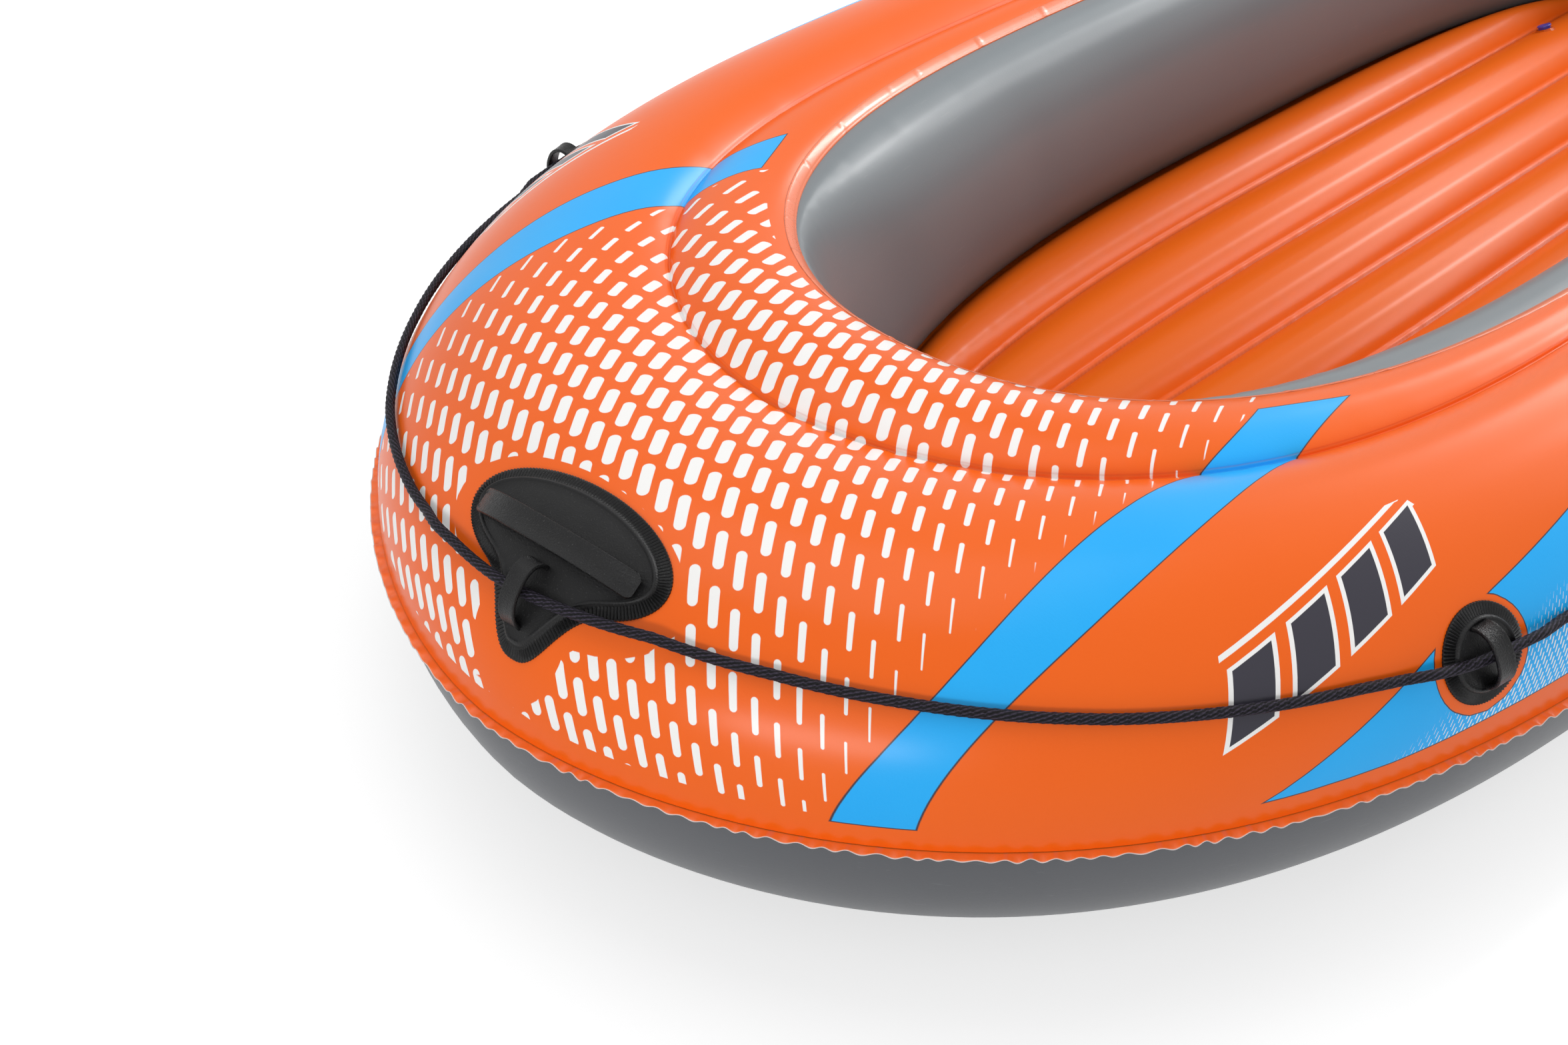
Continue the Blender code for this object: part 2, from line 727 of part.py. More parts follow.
ROPE_DIAMETER = 0.0068
ROPE_GAP = 0.0009
ROPE_OVERHANG = 0.010
ROPE_RAMP = 0.020
KNOT_BEARING = 186.5
KNOT_SIZE = 0.0042
KNOT_DEPTH_share = 1.3
KNOT_STEPS = 30
ROPE_STEP_share = 0.16
# Bearing from the bow towards port, in degrees, and how far up the tube's side the rope runs there
ROPE_HEIGHT_shares = [
    (-180, 0.6241), (-148, 0.4867), (-32, 0.4867), (-13, 0.5069), (-7, 0.5635), (-3, 0.6160), (0, 0.6362),
    (6, 0.6807), (10, 0.6686), (14, 0.6403), (20, 0.5877), (28, 0.5352), (32, 0.4867), (148, 0.4867),
    (180, 0.6241)]


def rope_height_share(bearing):
    bearing = (bearing + 180) % 360 - 180
    for (start, low), (end, high) in zip(ROPE_HEIGHT_shares, ROPE_HEIGHT_shares[1:]):
        if bearing <= end:
            return low + (high - low) * (bearing - start) / (end - start)


def bearing_at(place_u):
    """Bearing of the outer seam at a place counted in stations from the bow."""
    at = station_between(place_u)
    return math.degrees(math.atan2(at.x, -at.y)) % 360


def rope_seat(place_u):
    """The point of the tube's side under the rope, with the outward normal there."""
    share = rope_height_share(bearing_at(place_u))
    at = station_between(place_u)
    lean = math.asin(share)
    shoulder = shoulder_at(at)
    outward = math.cos(lean) / shoulder
    upward = math.sin(lean) / (TUBE_HEIGHT - TOP_START)
    normal = Vector((-at.inward_x * outward, -at.inward_y * outward, upward))
    return place(at, shoulder * (1 - math.cos(lean)), side_height(share)), normal.normalized()


def rope_lift(point, held):
    """How far the plates under the rope raise it."""
    lift = 0.0
    for middle, length in held:
        beyond = (point - middle).length - length / 2 - ROPE_OVERHANG
        share = min(max(1 - beyond / ROPE_RAMP, 0), 1)
        lift = max(lift, share * (PLATE_GAP + PLATE_FIELD))
    return lift


def rope_centre(place_u, held):
    point, normal = rope_seat(place_u)
    return point + normal * (ROPE_DIAMETER / 2 + ROPE_GAP + rope_lift(point, held))


def nearest_place(point):
    places = [i / FINER for i in range(FINER * STATION_COUNT)]
    return min(places, key=lambda place_u: (rope_seat(place_u)[0] - point).length)


def tube_object(name, points, radius, look, cyclic=False):
    curve = bpy.data.curves.new(name, "CURVE")
    curve.dimensions = "3D"
    curve.bevel_depth = radius
    curve.bevel_resolution = 1
    curve.use_fill_caps = True
    line = curve.splines.new("POLY")
    line.points.add(len(points) - 1)
    for slot, point in zip(line.points, points):
        slot.co = (*point, 1.0)
    line.use_cyclic_u = cyclic
    curve.materials.append(look)
    made = bpy.data.objects.new(name, curve)
    BOAT.objects.link(made)
    return made


def knot_points(centre, along, up, normal):
    """A closed overhand knot laid flat on the tube."""
    points = []
    for i in range(KNOT_STEPS):
        turn = 2 * math.pi * i / KNOT_STEPS
        x = math.sin(turn) + 2 * math.sin(2 * turn)
        y = math.cos(turn) - 2 * math.cos(2 * turn)
        high = -math.sin(3 * turn) * KNOT_DEPTH_share
        points.append(centre + (along * x + up * y + normal * high) * KNOT_SIZE)
    return points


def make_rope(held):
    count = STATION_COUNT
    radius = ROPE_DIAMETER / 2
    places = [i / FINER for i in range(FINER * count)]
    knot_u = min(places, key=lambda place_u: abs(bearing_at(place_u) - KNOT_BEARING))
    point, normal = rope_seat(knot_u)
    ahead = rope_seat(knot_u + 1)[0]
    per_metre = 1 / (ahead - point).length
    along = (ahead - point).normalized()
    up = normal.cross(along)
    lobe_x, lobe_y = 1.5 * math.sqrt(3), 1.5
    depth = KNOT_SIZE * KNOT_DEPTH_share
    centre = point + normal * (radius + ROPE_GAP + depth) - up * lobe_y * KNOT_SIZE
    tube_object("rope_knot", knot_points(centre, along, up, normal), radius, ROPE_FIBRE, cyclic=True)
    clear = (lobe_x * KNOT_SIZE + radius + GAP) * per_metre
    start, end = knot_u + clear, knot_u + count - clear
    stops = [start, end]
    stops += [i / 2 for i in range(math.ceil(2 * start), math.floor(2 * end) + 1)]
    for middle, length in held:
        found = nearest_place(middle)
        found += count if found < start else 0
        level_end = length / 2 + ROPE_OVERHANG
        reaches = [share * level_end * per_metre for share in (0.33, 0.67, 1)]
        reaches.append((level_end + ROPE_RAMP) * per_metre)
        stops += [found] + [found + reach for reach in reaches] + [found - reach for reach in reaches]
    chosen = [start]
    for stop in sorted(stops):
        if stop - chosen[-1] > ROPE_STEP_share and (end - stop > ROPE_STEP_share or stop == end):
            chosen.append(stop)
    points = [rope_centre(u, held) for u in chosen]
    tube_object("grab_rope", points, radius, ROPE_FIBRE)


# Valves

UNDER_SKIN = -(SKIN + 2 * GAP)
WELD_THICKNESS = 0.0009
PINCH_STEPS = 16
PINCH_WELD_RADIUS = 0.0170
PINCH_HOLE_RADIUS = 0.0134
PINCH_HUMP_RADIUS = 0.0126
PINCH_TOP_RADIUS = 0.0088
PINCH_TOP = 0.0026
PINCH_WALL = 0.0009
PINCH_WELL_DEPTH = 0.0070
STEM_RADIUS = 0.0050
STEM_BORE_RADIUS = 0.0038
STEM_DEPTH = 0.0165
STEM_LIP_RADIUS = 0.0062
STEM_LIP = 0.0008
STEM_CLEARANCE = 0.0003
CAP_RADIUS = 0.0075
CAP_THICKNESS = 0.0016
PLUG_DEPTH = 0.0045
TETHER_RADIUS = 0.0068
TETHER_THICKNESS = 0.0008
TETHER_WIDTH = 0.0030
TETHER_REACH = 0.0112
FLAP_RADIUS = 0.0046
FLAP_THICKNESS = 0.0006
FLAP_STEPS = 14
HOLE_DEPTH = 0.012

FLOOR_VALVE_X_share = -0.5163
FLOOR_VALVE_Y_share = 0.6506
INNER_VALVE_X_share = -0.28
MAIN_VALVE_X_share = 0.28
SEAT_SPREAD = 0.008


def seat_below(tree, x, y):
    """The seat straight below a point, square to the skin as it lies round there."""
    def skin_point(dx, dy):
        start = Vector((x + dx, y + dy, TUBE_HEIGHT + SEAT_REACH))
        return tree.ray_cast(start, Vector((0, 0, -1)))[0]
    across = skin_point(SEAT_SPREAD, 0) - skin_point(-SEAT_SPREAD, 0)
    along = skin_point(0, SEAT_SPREAD) - skin_point(0, -SEAT_SPREAD)
    normal = across.cross(along).normalized()
    return seat_from(tree, skin_point(0, 0), normal, Vector((1, 0, 0)))


def seat_matrix(seat, lift=0.0):
    turn = Matrix((seat.along, seat.up, seat.normal)).transposed().to_4x4()
    return Matrix.Translation(seat.origin + seat.normal * lift) @ turn


def put_on_seat(made, seat, lift=0.0):
    made.location = seat_matrix(seat, lift).to_translation()
    made.rotation_euler = seat_matrix(seat).to_euler()
    return made


def welded_body(name, seat, rings, steps, look):
    """A moulding whose rings follow the skin where the sheet is welded and stand level elsewhere."""
    rows = []
    for radius, lift, follows_skin in rings:
        row = []
        for i in range(steps):
            turn = 2 * math.pi * i / steps
            x, y = radius * math.cos(turn), radius * math.sin(turn)
            level = seat.origin + seat.along * x + seat.up * y + seat.normal * lift
            row.append(on_seat(seat, x, y, lift) if follows_skin else level)
        rows.append(row)
    shape = loft(rows, flip=True, close_columns=True)
    return add_object(name, mesh_from_bmesh(name, shape), look)


def turned(name, seat, profile, steps, look, closed=True):
    """A turned piece on the seat's axis; the profile runs down the outer side and back up the inner."""
    mesh = bpy.data.meshes.new(name)
    edges = [(i, i + 1) for i in range(len(profile) - 1)]
    if closed:
        edges.append((len(profile) - 1, 0))
    mesh.from_pydata([(radius, 0, height) for radius, height in profile], edges, [])
    made = put_on_seat(add_object(name, mesh, look), seat)
    screw = made.modifiers.new("turned", "SCREW")
    screw.steps = steps
    screw.render_steps = steps
    screw.use_merge_vertices = True
    screw.merge_threshold = 0.00005
    screw.use_smooth_shade = True
    return made


def round_cutter(name, seat, radius):
    shape = bmesh.new()
    bmesh.ops.create_cone(shape, cap_ends=True, segments=PINCH_STEPS, radius1=radius, radius2=radius,
                          depth=2 * HOLE_DEPTH)
    return as_cutter(put_on_seat(add_object(name, mesh_from_bmesh(name, shape), BLACK_RUBBER, CUTTERS), seat))


def hinged_flap(name, seat, radius, thickness, top):
    """A round flap under a valve's bore, with its origin on the edge that it hinges on."""
    shape = bmesh.new()
    bmesh.ops.create_cone(shape, cap_ends=True, segments=FLAP_STEPS, radius1=radius, radius2=radius,
                          depth=thickness, matrix=Matrix.Translation((radius, 0, -thickness / 2)))
    made = add_object(name, mesh_from_bmesh(name, shape), CLEAR_RUBBER)
    shifted = seat._replace(origin=seat.origin - seat.along * radius)
    return put_on_seat(made, shifted, top)


def ring_profile(outer, inner, high, low):
    return [(outer, high), (outer, low), (inner, low), (inner, high)]


def make_pinch_valve(word, skin_name, x, y):
    """A small push-in valve: a hump welded under the sheet, and in it a stem with its plug."""
    seat = seat_below(skin_tree(skin_name), x, y)
    cut(bpy.data.objects[skin_name], round_cutter(word + "_valve_hole", seat, PINCH_HOLE_RADIUS))
    well_radius = STEM_RADIUS + STEM_CLEARANCE
    rings = [
        (PINCH_WELD_RADIUS, UNDER_SKIN - WELD_THICKNESS, True), (PINCH_WELD_RADIUS, UNDER_SKIN, True),
        (PINCH_HUMP_RADIUS + GAP, UNDER_SKIN, True), (PINCH_HUMP_RADIUS, GAP, True),
        (PINCH_TOP_RADIUS, PINCH_TOP, False), (well_radius, PINCH_TOP, False),
        (well_radius, -PINCH_WELL_DEPTH, False), (well_radius + PINCH_WALL, -PINCH_WELL_DEPTH, False),
        (well_radius + PINCH_WALL, PINCH_TOP - PINCH_WALL, False),
        (PINCH_TOP_RADIUS - PINCH_WALL, PINCH_TOP - PINCH_WALL, False),
        (PINCH_HUMP_RADIUS - PINCH_WALL, UNDER_SKIN - WELD_THICKNESS, True)]
    welded_body(word + "_valve_body", seat, rings, PINCH_STEPS, VALVE_VINYL)

    tether_low = PINCH_TOP + GAP
    tether_high = tether_low + TETHER_THICKNESS
    lip_low = tether_high + GAP
    lip_high = lip_low + STEM_LIP
    stem = [
        (STEM_LIP_RADIUS, lip_high), (STEM_LIP_RADIUS, lip_low), (STEM_RADIUS, lip_low),
        (STEM_RADIUS, -STEM_DEPTH), (STEM_BORE_RADIUS, -STEM_DEPTH), (STEM_BORE_RADIUS, lip_high)]
    turned(word + "_valve_stem", seat, stem, PINCH_STEPS, VALVE_VINYL)

    cap_low = lip_high + GAP
    cap_high = cap_low + CAP_THICKNESS
    plug_radius = STEM_BORE_RADIUS - STEM_CLEARANCE
    cap = [
        (0, cap_high), (CAP_RADIUS - PINCH_WALL / 2, cap_high), (CAP_RADIUS, cap_high - PINCH_WALL / 2),
        (CAP_RADIUS, cap_low), (plug_radius, cap_low), (plug_radius, cap_low - PLUG_DEPTH),
        (0, cap_low - PLUG_DEPTH)]
    turned(word + "_valve_cap", seat, cap, PINCH_STEPS, VALVE_VINYL, closed=False)

    ring = ring_profile(TETHER_RADIUS, STEM_RADIUS + STEM_CLEARANCE, tether_high, tether_low)
    tether = turned(word + "_valve_tether", seat, ring, PINCH_STEPS, VALVE_VINYL)
    start = TETHER_RADIUS - TETHER_THICKNESS
    path = [
        (start, tether_low), (TETHER_REACH - TETHER_THICKNESS, tether_low),
        (TETHER_REACH, (tether_low + cap_high) / 2), (TETHER_REACH - TETHER_THICKNESS, cap_high - GAP),
        (CAP_RADIUS + GAP, cap_high - GAP)]
    name = word + "_valve_tether_band"
    band = add_object(name, mesh_from_bmesh(name, strip_shape(path, TETHER_WIDTH, TETHER_THICKNESS)),
                      VALVE_VINYL, CUTTERS)
    cut(tether, as_cutter(put_on_seat(band, seat)), "UNION")

    hinged_flap(word + "_valve_flap", seat, FLAP_RADIUS, FLAP_THICKNESS, -STEM_DEPTH - GAP)
    return seat


MAIN_STEPS = 24
MAIN_WELD_RADIUS = 0.0260
MAIN_HOLE_RADIUS = 0.0192
MAIN_HUMP_RADIUS = 0.0184
MAIN_TOP_RADIUS = 0.0176
MAIN_TOP = 0.0030
NECK_RADIUS = 0.0150
NECK_BORE_RADIUS = 0.0125
NECK_TOP = 0.0120
NECK_DEPTH = 0.0140
NECK_WALL = 0.0015
THREAD_HEIGHT = 0.0085
THREAD_DEPTH = 0.0005
SEAL_WIDTH = 0.0021
SEAL_THICKNESS = 0.0012
SCREW_CAP_RADIUS = 0.0182
SCREW_CAP_BORE_RADIUS = 0.0160
SCREW_CAP_TOP = 0.0018
GROOVE_DEPTH = 0.0009
GROOVE_WIDTH = 0.0018
GRIP_COUNT = 10
GRIP_RADIUS = 0.0022
CAP_RING_RADIUS = 0.0205
CAP_RING_CLEARANCE = 0.0002
CHECK_FLAP_RADIUS = 0.0135
CHECK_FLAP_THICKNESS = 0.0008
ANCHOR_STRAP_WIDTH = 0.0060
ANCHOR_STRAP_LENGTH = 0.0300
ANCHOR_STRAP_THICKNESS = 0.0010


def grip_cutter(seat, top, bottom):
    """Upright rods round the cap's rim, whose places become finger grips."""
    shape = bmesh.new()
    middle = (top + bottom) / 2
    for i in range(GRIP_COUNT):
        turn = 2 * math.pi * (i + 0.5) / GRIP_COUNT
        reach = SCREW_CAP_RADIUS + GRIP_RADIUS / 2
        where = Matrix.Translation((reach * math.cos(turn), reach * math.sin(turn), middle))
        bmesh.ops.create_cone(shape, cap_ends=True, segments=8, radius1=GRIP_RADIUS, radius2=GRIP_RADIUS,
                              depth=top - bottom, matrix=where)
    made = add_object("cap_grips", mesh_from_bmesh("cap_grips", shape), BLACK_RUBBER, CUTTERS)
    return as_cutter(put_on_seat(made, seat))


def make_main_valve():
    """The inflation valve of the main tube: a threaded neck with a check flap, and a screw cap."""
    y = CREASE.stern_length + STERN_TUBE_WIDTH * (1 - SHOULDER_share)
    y *= (1 - MAIN_VALVE_X_share ** SEAM_SIDE_POWER) ** (1 / SEAM_END_POWER)
    seat = seat_below(skin_tree("hull_top_skin"), MAIN_VALVE_X_share * HALF_WIDTH, y)
    cut(bpy.data.objects["hull_top_skin"], round_cutter("main_valve_hole", seat, MAIN_HOLE_RADIUS))
    thread_radius = NECK_RADIUS + THREAD_DEPTH
    thread_low, thread_high = THREAD_HEIGHT - THREAD_DEPTH, THREAD_HEIGHT + THREAD_DEPTH
    rings = [
        (MAIN_WELD_RADIUS, UNDER_SKIN - WELD_THICKNESS, True), (MAIN_WELD_RADIUS, UNDER_SKIN, True),
        (MAIN_HUMP_RADIUS + GAP, UNDER_SKIN, True), (MAIN_HUMP_RADIUS, GAP, True),
        (MAIN_TOP_RADIUS, MAIN_TOP, False), (NECK_RADIUS, MAIN_TOP, False),
        (NECK_RADIUS, thread_low - THREAD_DEPTH, False), (thread_radius, thread_low, False),
        (thread_radius, thread_high, False), (NECK_RADIUS, thread_high + THREAD_DEPTH, False),
        (NECK_RADIUS, NECK_TOP, False), (NECK_BORE_RADIUS, NECK_TOP, False),
        (NECK_BORE_RADIUS, -NECK_DEPTH, False), (NECK_BORE_RADIUS + NECK_WALL, -NECK_DEPTH, False),
        (NECK_BORE_RADIUS + NECK_WALL, UNDER_SKIN - WELD_THICKNESS, False),
        (MAIN_HUMP_RADIUS - NECK_WALL, UNDER_SKIN - WELD_THICKNESS, True)]
    welded_body("main_valve_body", seat, rings, MAIN_STEPS, VALVE_VINYL)

    hinged_flap("main_valve_check_flap", seat, CHECK_FLAP_RADIUS, CHECK_FLAP_THICKNESS, -NECK_DEPTH - GAP)

    seal_low = NECK_TOP + GAP
    seal_high = seal_low + SEAL_THICKNESS
    seal = ring_profile(NECK_RADIUS, NECK_RADIUS - SEAL_WIDTH, seal_high, seal_low)
    turned("main_valve_seal", seat, seal, MAIN_STEPS, CLEAR_RUBBER)

    inside_top = seal_high + GAP
    cap_top = inside_top + SCREW_CAP_TOP
    groove_top = cap_top - GROOVE_WIDTH / 2
    groove_bottom = groove_top - GROOVE_WIDTH
    groove_radius = SCREW_CAP_RADIUS - GROOVE_DEPTH
    cap_bottom = MAIN_TOP + 2 * GAP + ANCHOR_STRAP_THICKNESS
    cap = [
        (0, cap_top), (SCREW_CAP_RADIUS, cap_top), (SCREW_CAP_RADIUS, groove_top),
        (groove_radius, groove_top), (groove_radius, groove_bottom), (SCREW_CAP_RADIUS, groove_bottom),
        (SCREW_CAP_RADIUS, cap_bottom), (SCREW_CAP_BORE_RADIUS, cap_bottom),
        (SCREW_CAP_BORE_RADIUS, inside_top), (0, inside_top)]
    screw_cap = turned("main_valve_cap", seat, cap, MAIN_STEPS, VALVE_VINYL, closed=False)
    cut(screw_cap, grip_cutter(seat, groove_bottom - GROOVE_DEPTH, cap_bottom - GROOVE_DEPTH))

    ring = ring_profile(CAP_RING_RADIUS, groove_radius + CAP_RING_CLEARANCE,
                        groove_top - CAP_RING_CLEARANCE, groove_bottom + CAP_RING_CLEARANCE)
    turned("main_valve_cap_ring", seat, ring, MAIN_STEPS, VALVE_VINYL)

    start = CAP_RING_RADIUS + GAP
    middle = (groove_top + groove_bottom) / 2
    path = [
        (start, middle), (start + ANCHOR_STRAP_LENGTH / 4, middle),
        (start + ANCHOR_STRAP_LENGTH / 2, middle / 2),
        (start + ANCHOR_STRAP_LENGTH * 3 / 4, PLATE_GAP), (start + ANCHOR_STRAP_LENGTH, PLATE_GAP)]
    strip = strip_shape(path, ANCHOR_STRAP_WIDTH, ANCHOR_STRAP_THICKNESS)
    for vertex in strip.verts:
        vertex.co.x, vertex.co.y = -vertex.co.y, vertex.co.x
    bend_onto(seat, strip)
    add_object("main_valve_cap_strap", mesh_from_bmesh("main_valve_cap_strap", strip), VALVE_VINYL)


def make_valves():
    floor_x, floor_y = FLOOR_VALVE_X_share * FLOOR.half_width, FLOOR_VALVE_Y_share * FLOOR.stern_length
    make_pinch_valve("floor", "floor_top_skin", floor_x, floor_y)
    inner_x = INNER_VALVE_X_share * HALF_WIDTH
    inner_y = (CREASE.stern_length + RIM.stern_length) / 2
    inner_y *= (1 - (abs(inner_x) / CREASE.half_width) ** CREASE_SIDE_POWER) ** (1 / CREASE_END_POWER)
    make_pinch_valve("inner_tube", "hull_top_skin", inner_x, inner_y)
    make_main_valve()


make_hull()
make_floor()
HELD = make_rubber_fittings(smooth_top_tree())
make_rope(HELD)
make_valves()
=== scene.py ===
"""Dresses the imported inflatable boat: printed vinyl, braided rope, moulded rubber and valves.

Metres, +Z up, the bow at -Y and the port side at +X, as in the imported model.
"""
import math
from collections import namedtuple

import bpy
import numpy as np
from mathutils import Matrix, Vector
from mathutils.bvhtree import BVHTree


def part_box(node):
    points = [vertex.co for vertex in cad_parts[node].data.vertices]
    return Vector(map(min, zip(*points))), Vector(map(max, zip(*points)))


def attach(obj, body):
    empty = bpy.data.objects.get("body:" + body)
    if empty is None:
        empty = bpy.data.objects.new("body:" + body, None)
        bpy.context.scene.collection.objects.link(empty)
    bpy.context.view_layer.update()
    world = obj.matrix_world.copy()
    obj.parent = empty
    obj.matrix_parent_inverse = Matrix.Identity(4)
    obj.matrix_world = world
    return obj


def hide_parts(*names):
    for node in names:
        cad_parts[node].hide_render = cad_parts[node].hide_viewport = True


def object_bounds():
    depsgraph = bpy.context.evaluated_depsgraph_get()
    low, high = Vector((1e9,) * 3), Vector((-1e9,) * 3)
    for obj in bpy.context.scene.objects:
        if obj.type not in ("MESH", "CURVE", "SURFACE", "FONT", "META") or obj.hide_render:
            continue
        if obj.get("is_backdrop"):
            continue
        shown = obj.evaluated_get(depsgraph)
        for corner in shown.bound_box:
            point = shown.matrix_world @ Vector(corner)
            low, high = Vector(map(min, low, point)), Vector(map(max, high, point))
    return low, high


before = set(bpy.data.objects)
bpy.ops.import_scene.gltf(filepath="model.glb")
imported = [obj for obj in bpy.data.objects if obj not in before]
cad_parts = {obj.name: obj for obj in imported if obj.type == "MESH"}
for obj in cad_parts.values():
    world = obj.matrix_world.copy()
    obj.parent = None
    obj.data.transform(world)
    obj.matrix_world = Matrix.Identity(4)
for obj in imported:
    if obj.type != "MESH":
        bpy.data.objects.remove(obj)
cad_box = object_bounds()


# View and studio
# The boat stands on a white studio floor in an even white surround. Soft boxes hang behind it, low
# before the bow and overhead, and a small lamp over the stern draws streaks on the floor's ribs.

SURROUND_FILL = 0.56
FLOOR_GLOW = 0.60
FLOOR_SIZE = 14.0
FLOOR_DROP = 0.0006
WHITE = (1.0, 1.0, 1.0, 1.0)

scene = bpy.context.scene
scene.view_settings.view_transform = "Standard"
camera_data = bpy.data.cameras.new("camera")
camera_data.sensor_width = 36.0
camera_data.lens = 43.35
camera = bpy.data.objects.new("camera", camera_data)
camera.location = (0.7112, -1.4916, 0.9106)
camera.rotation_euler = (math.radians(52.282), 0.0, math.radians(46.074))
scene.collection.objects.link(camera)
scene.camera = camera


def reckoned(operation):
    """Joins a value with the next ones, one after another, by this kind of Math node."""
    def joined(first, *others):
        for other in others:
            first = first.wires.math(operation, first, other)
        return first
    return joined


class Value:
    """A number, colour or vector in a shader, used as in a formula."""

    __add__, __sub__, __mul__ = reckoned("ADD"), reckoned("SUBTRACT"), reckoned("MULTIPLY")
    __truediv__, __pow__ = reckoned("DIVIDE"), reckoned("POWER")
    at_least, at_most = reckoned("MAXIMUM"), reckoned("MINIMUM")

    def __init__(self, wires, socket):
        self.wires, self.socket = wires, socket

    def __rsub__(self, other):
        return self.wires.math("SUBTRACT", other, self)

    def __abs__(self):
        return self.wires.math("ABSOLUTE", self)

    def __round__(self):
        return self.wires.math("ROUND", self)

    def scaled(self, factor, added, clamp=False):
        return self.wires.math("MULTIPLY_ADD", self, factor, added, clamp=clamp)

    def inside(self, softness):
        """One where the number is above zero, with a soft edge."""
        return self.scaled(1 / softness, 0.5, clamp=True)


class Wires:
    """Adds shader nodes to a tree and joins them. Inputs are named with _ for a space."""

    def __init__(self, tree):
        self.tree = tree

    def put(self, socket, value):
        if isinstance(value, Value):
            self.tree.links.new(value.socket, socket)
        else:
            socket.default_value = value

    def fill(self, node, **inputs):
        for name, value in inputs.items():
            self.put(node.inputs[name.replace("_", " ")], value)

    def node(self, kind, output=0, **inputs):
        made = self.tree.nodes.new(kind)
        self.fill(made, **inputs)
        return Value(self, made.outputs[output])

    def numbered(self, kind, settings, inputs, output=0):
        """A node with these settings, and inputs that are known by their numbers."""
        made = self.tree.nodes.new(kind)
        for name, value in settings.items():
            setattr(made, name, value)
        for number, value in inputs.items():
            self.put(made.inputs[number], value)
        return Value(self, made.outputs[output])

    def math(self, operation, *values, clamp=False):
        settings = {"operation": operation, "use_clamp": clamp}
        return self.numbered("ShaderNodeMath", settings, dict(enumerate(values)))

    def mix(self, share, first, second):
        return self.numbered("ShaderNodeMix", {"data_type": "RGBA"}, {0: share, 6: first, 7: second}, 2)

    def group(self, tree, **inputs):
        """Places a node group, and gives what it puts out by name."""
        made = self.tree.nodes.new("ShaderNodeGroup")
        made.node_tree = tree
        self.fill(made, **inputs)
        return {socket.name: Value(self, socket) for socket in made.outputs}

    def marked(self, name):
        """The three numbers that a mesh keeps under a name."""
        vector = self.numbered("ShaderNodeAttribute", {"attribute_name": name}, {}, "Vector")
        parts = self.node("ShaderNodeSeparateXYZ", Vector=vector).socket.node
        return [Value(self, part) for part in parts.outputs]

    def noise(self, place, scale, detail=2.0, roughness=0.5):
        return self.node("ShaderNodeTexNoise", Vector=place, Scale=scale, Detail=detail, Roughness=roughness)

    def stretched(self, scale=(1.0, 1.0, 1.0)):
        """Places on the object, stretched by these factors."""
        place = self.node("ShaderNodeTexCoord", "Object")
        return self.node("ShaderNodeMapping", Vector=place, Scale=scale)

    def bump(self, height, strength, distance):
        return self.node("ShaderNodeBump", Height=height, Strength=strength, Distance=distance)


def new_look(name):
    """A material, the wires of its tree and its Principled shader."""
    look = bpy.data.materials.new(name)
    look.use_nodes = True
    return look, Wires(look.node_tree), look.node_tree.nodes["Principled BSDF"]


def seen_by_eye(wires):
    """One for rays that come straight from the camera, by a mirror or through glass."""
    path = wires.tree.nodes.new("ShaderNodeLightPath")
    rays = [path.outputs[f"Is {kind} Ray"] for kind in ("Camera", "Glossy", "Transmission")]
    seen, *others = [Value(wires, ray) for ray in rays]
    return seen.at_least(*others)


world = bpy.data.worlds.new("white_surround")
world.use_nodes = True
scene.world = world
surround = Wires(world.node_tree)
level = surround.node("ShaderNodeMapRange", Value=seen_by_eye(surround), To_Min=SURROUND_FILL, To_Max=1.0)
surround.fill(world.node_tree.nodes["Background"], Color=WHITE, Strength=level)

floor_mesh = bpy.data.meshes.new("studio_floor")
corners = [(-1, -1), (1, -1), (1, 1), (-1, 1)]
floor_mesh.from_pydata([(x * FLOOR_SIZE / 2, y * FLOOR_SIZE / 2, -FLOOR_DROP) for x, y in corners],
                       [], [(0, 1, 2, 3)])
studio_floor = bpy.data.objects.new("studio_floor", floor_mesh)
scene.collection.objects.link(studio_floor)
studio_floor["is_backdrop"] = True
floor_look, floor_wires, floor_shader = new_look("studio_floor")
floor_wires.fill(floor_shader, Base_Color=(0.60, 0.60, 0.60, 1.0), Roughness=0.9, Specular_IOR_Level=0.0,
                 Emission_Color=WHITE, Emission_Strength=seen_by_eye(floor_wires) * FLOOR_GLOW)
floor_mesh.materials.append(floor_look)


def soft_lamp(name, place, target, width, height, power):
    """A rectangular soft box that faces a point of the boat."""
    data = bpy.data.lights.new(name, "AREA")
    data.shape = "RECTANGLE"
    data.size, data.size_y, data.energy = width, height, power
    lamp = bpy.data.objects.new(name, data)
    lamp.location = place
    lamp.rotation_euler = (Vector(place) - Vector(target)).to_track_quat("Z", "Y").to_euler()
    scene.collection.objects.link(lamp)


soft_lamp("back_soft_box", (0.3, 3.3, 2.3), (0.0, -0.3, 0.1), 3.6, 0.45, 76.0)
soft_lamp("stern_lamp", (0.3, 3.2, 2.4), (0.0, -0.2, 0.1), 0.22, 0.5, 20.0)
soft_lamp("bow_soft_box", (1.3, -3.4, 1.0), (0.1, -0.8, 0.2), 1.6, 0.5, 26.0)
soft_lamp("top_soft_box", (-0.6, -0.6, 3.2), (0.0, -0.3, 0.1), 2.2, 2.2, 20.0)


# Grab rope
# A braided black cord about 7 mm thick, run through the loops of the moulded rubber plates all
# round the hull. Its two ends meet at the stern in a flat overhand knot.

Curve = namedtuple("Curve", "half_width bow stern side_power bow_power stern_power")
Ring = namedtuple("Ring", "x y inward_x inward_y crease_at rim_at floor_at")

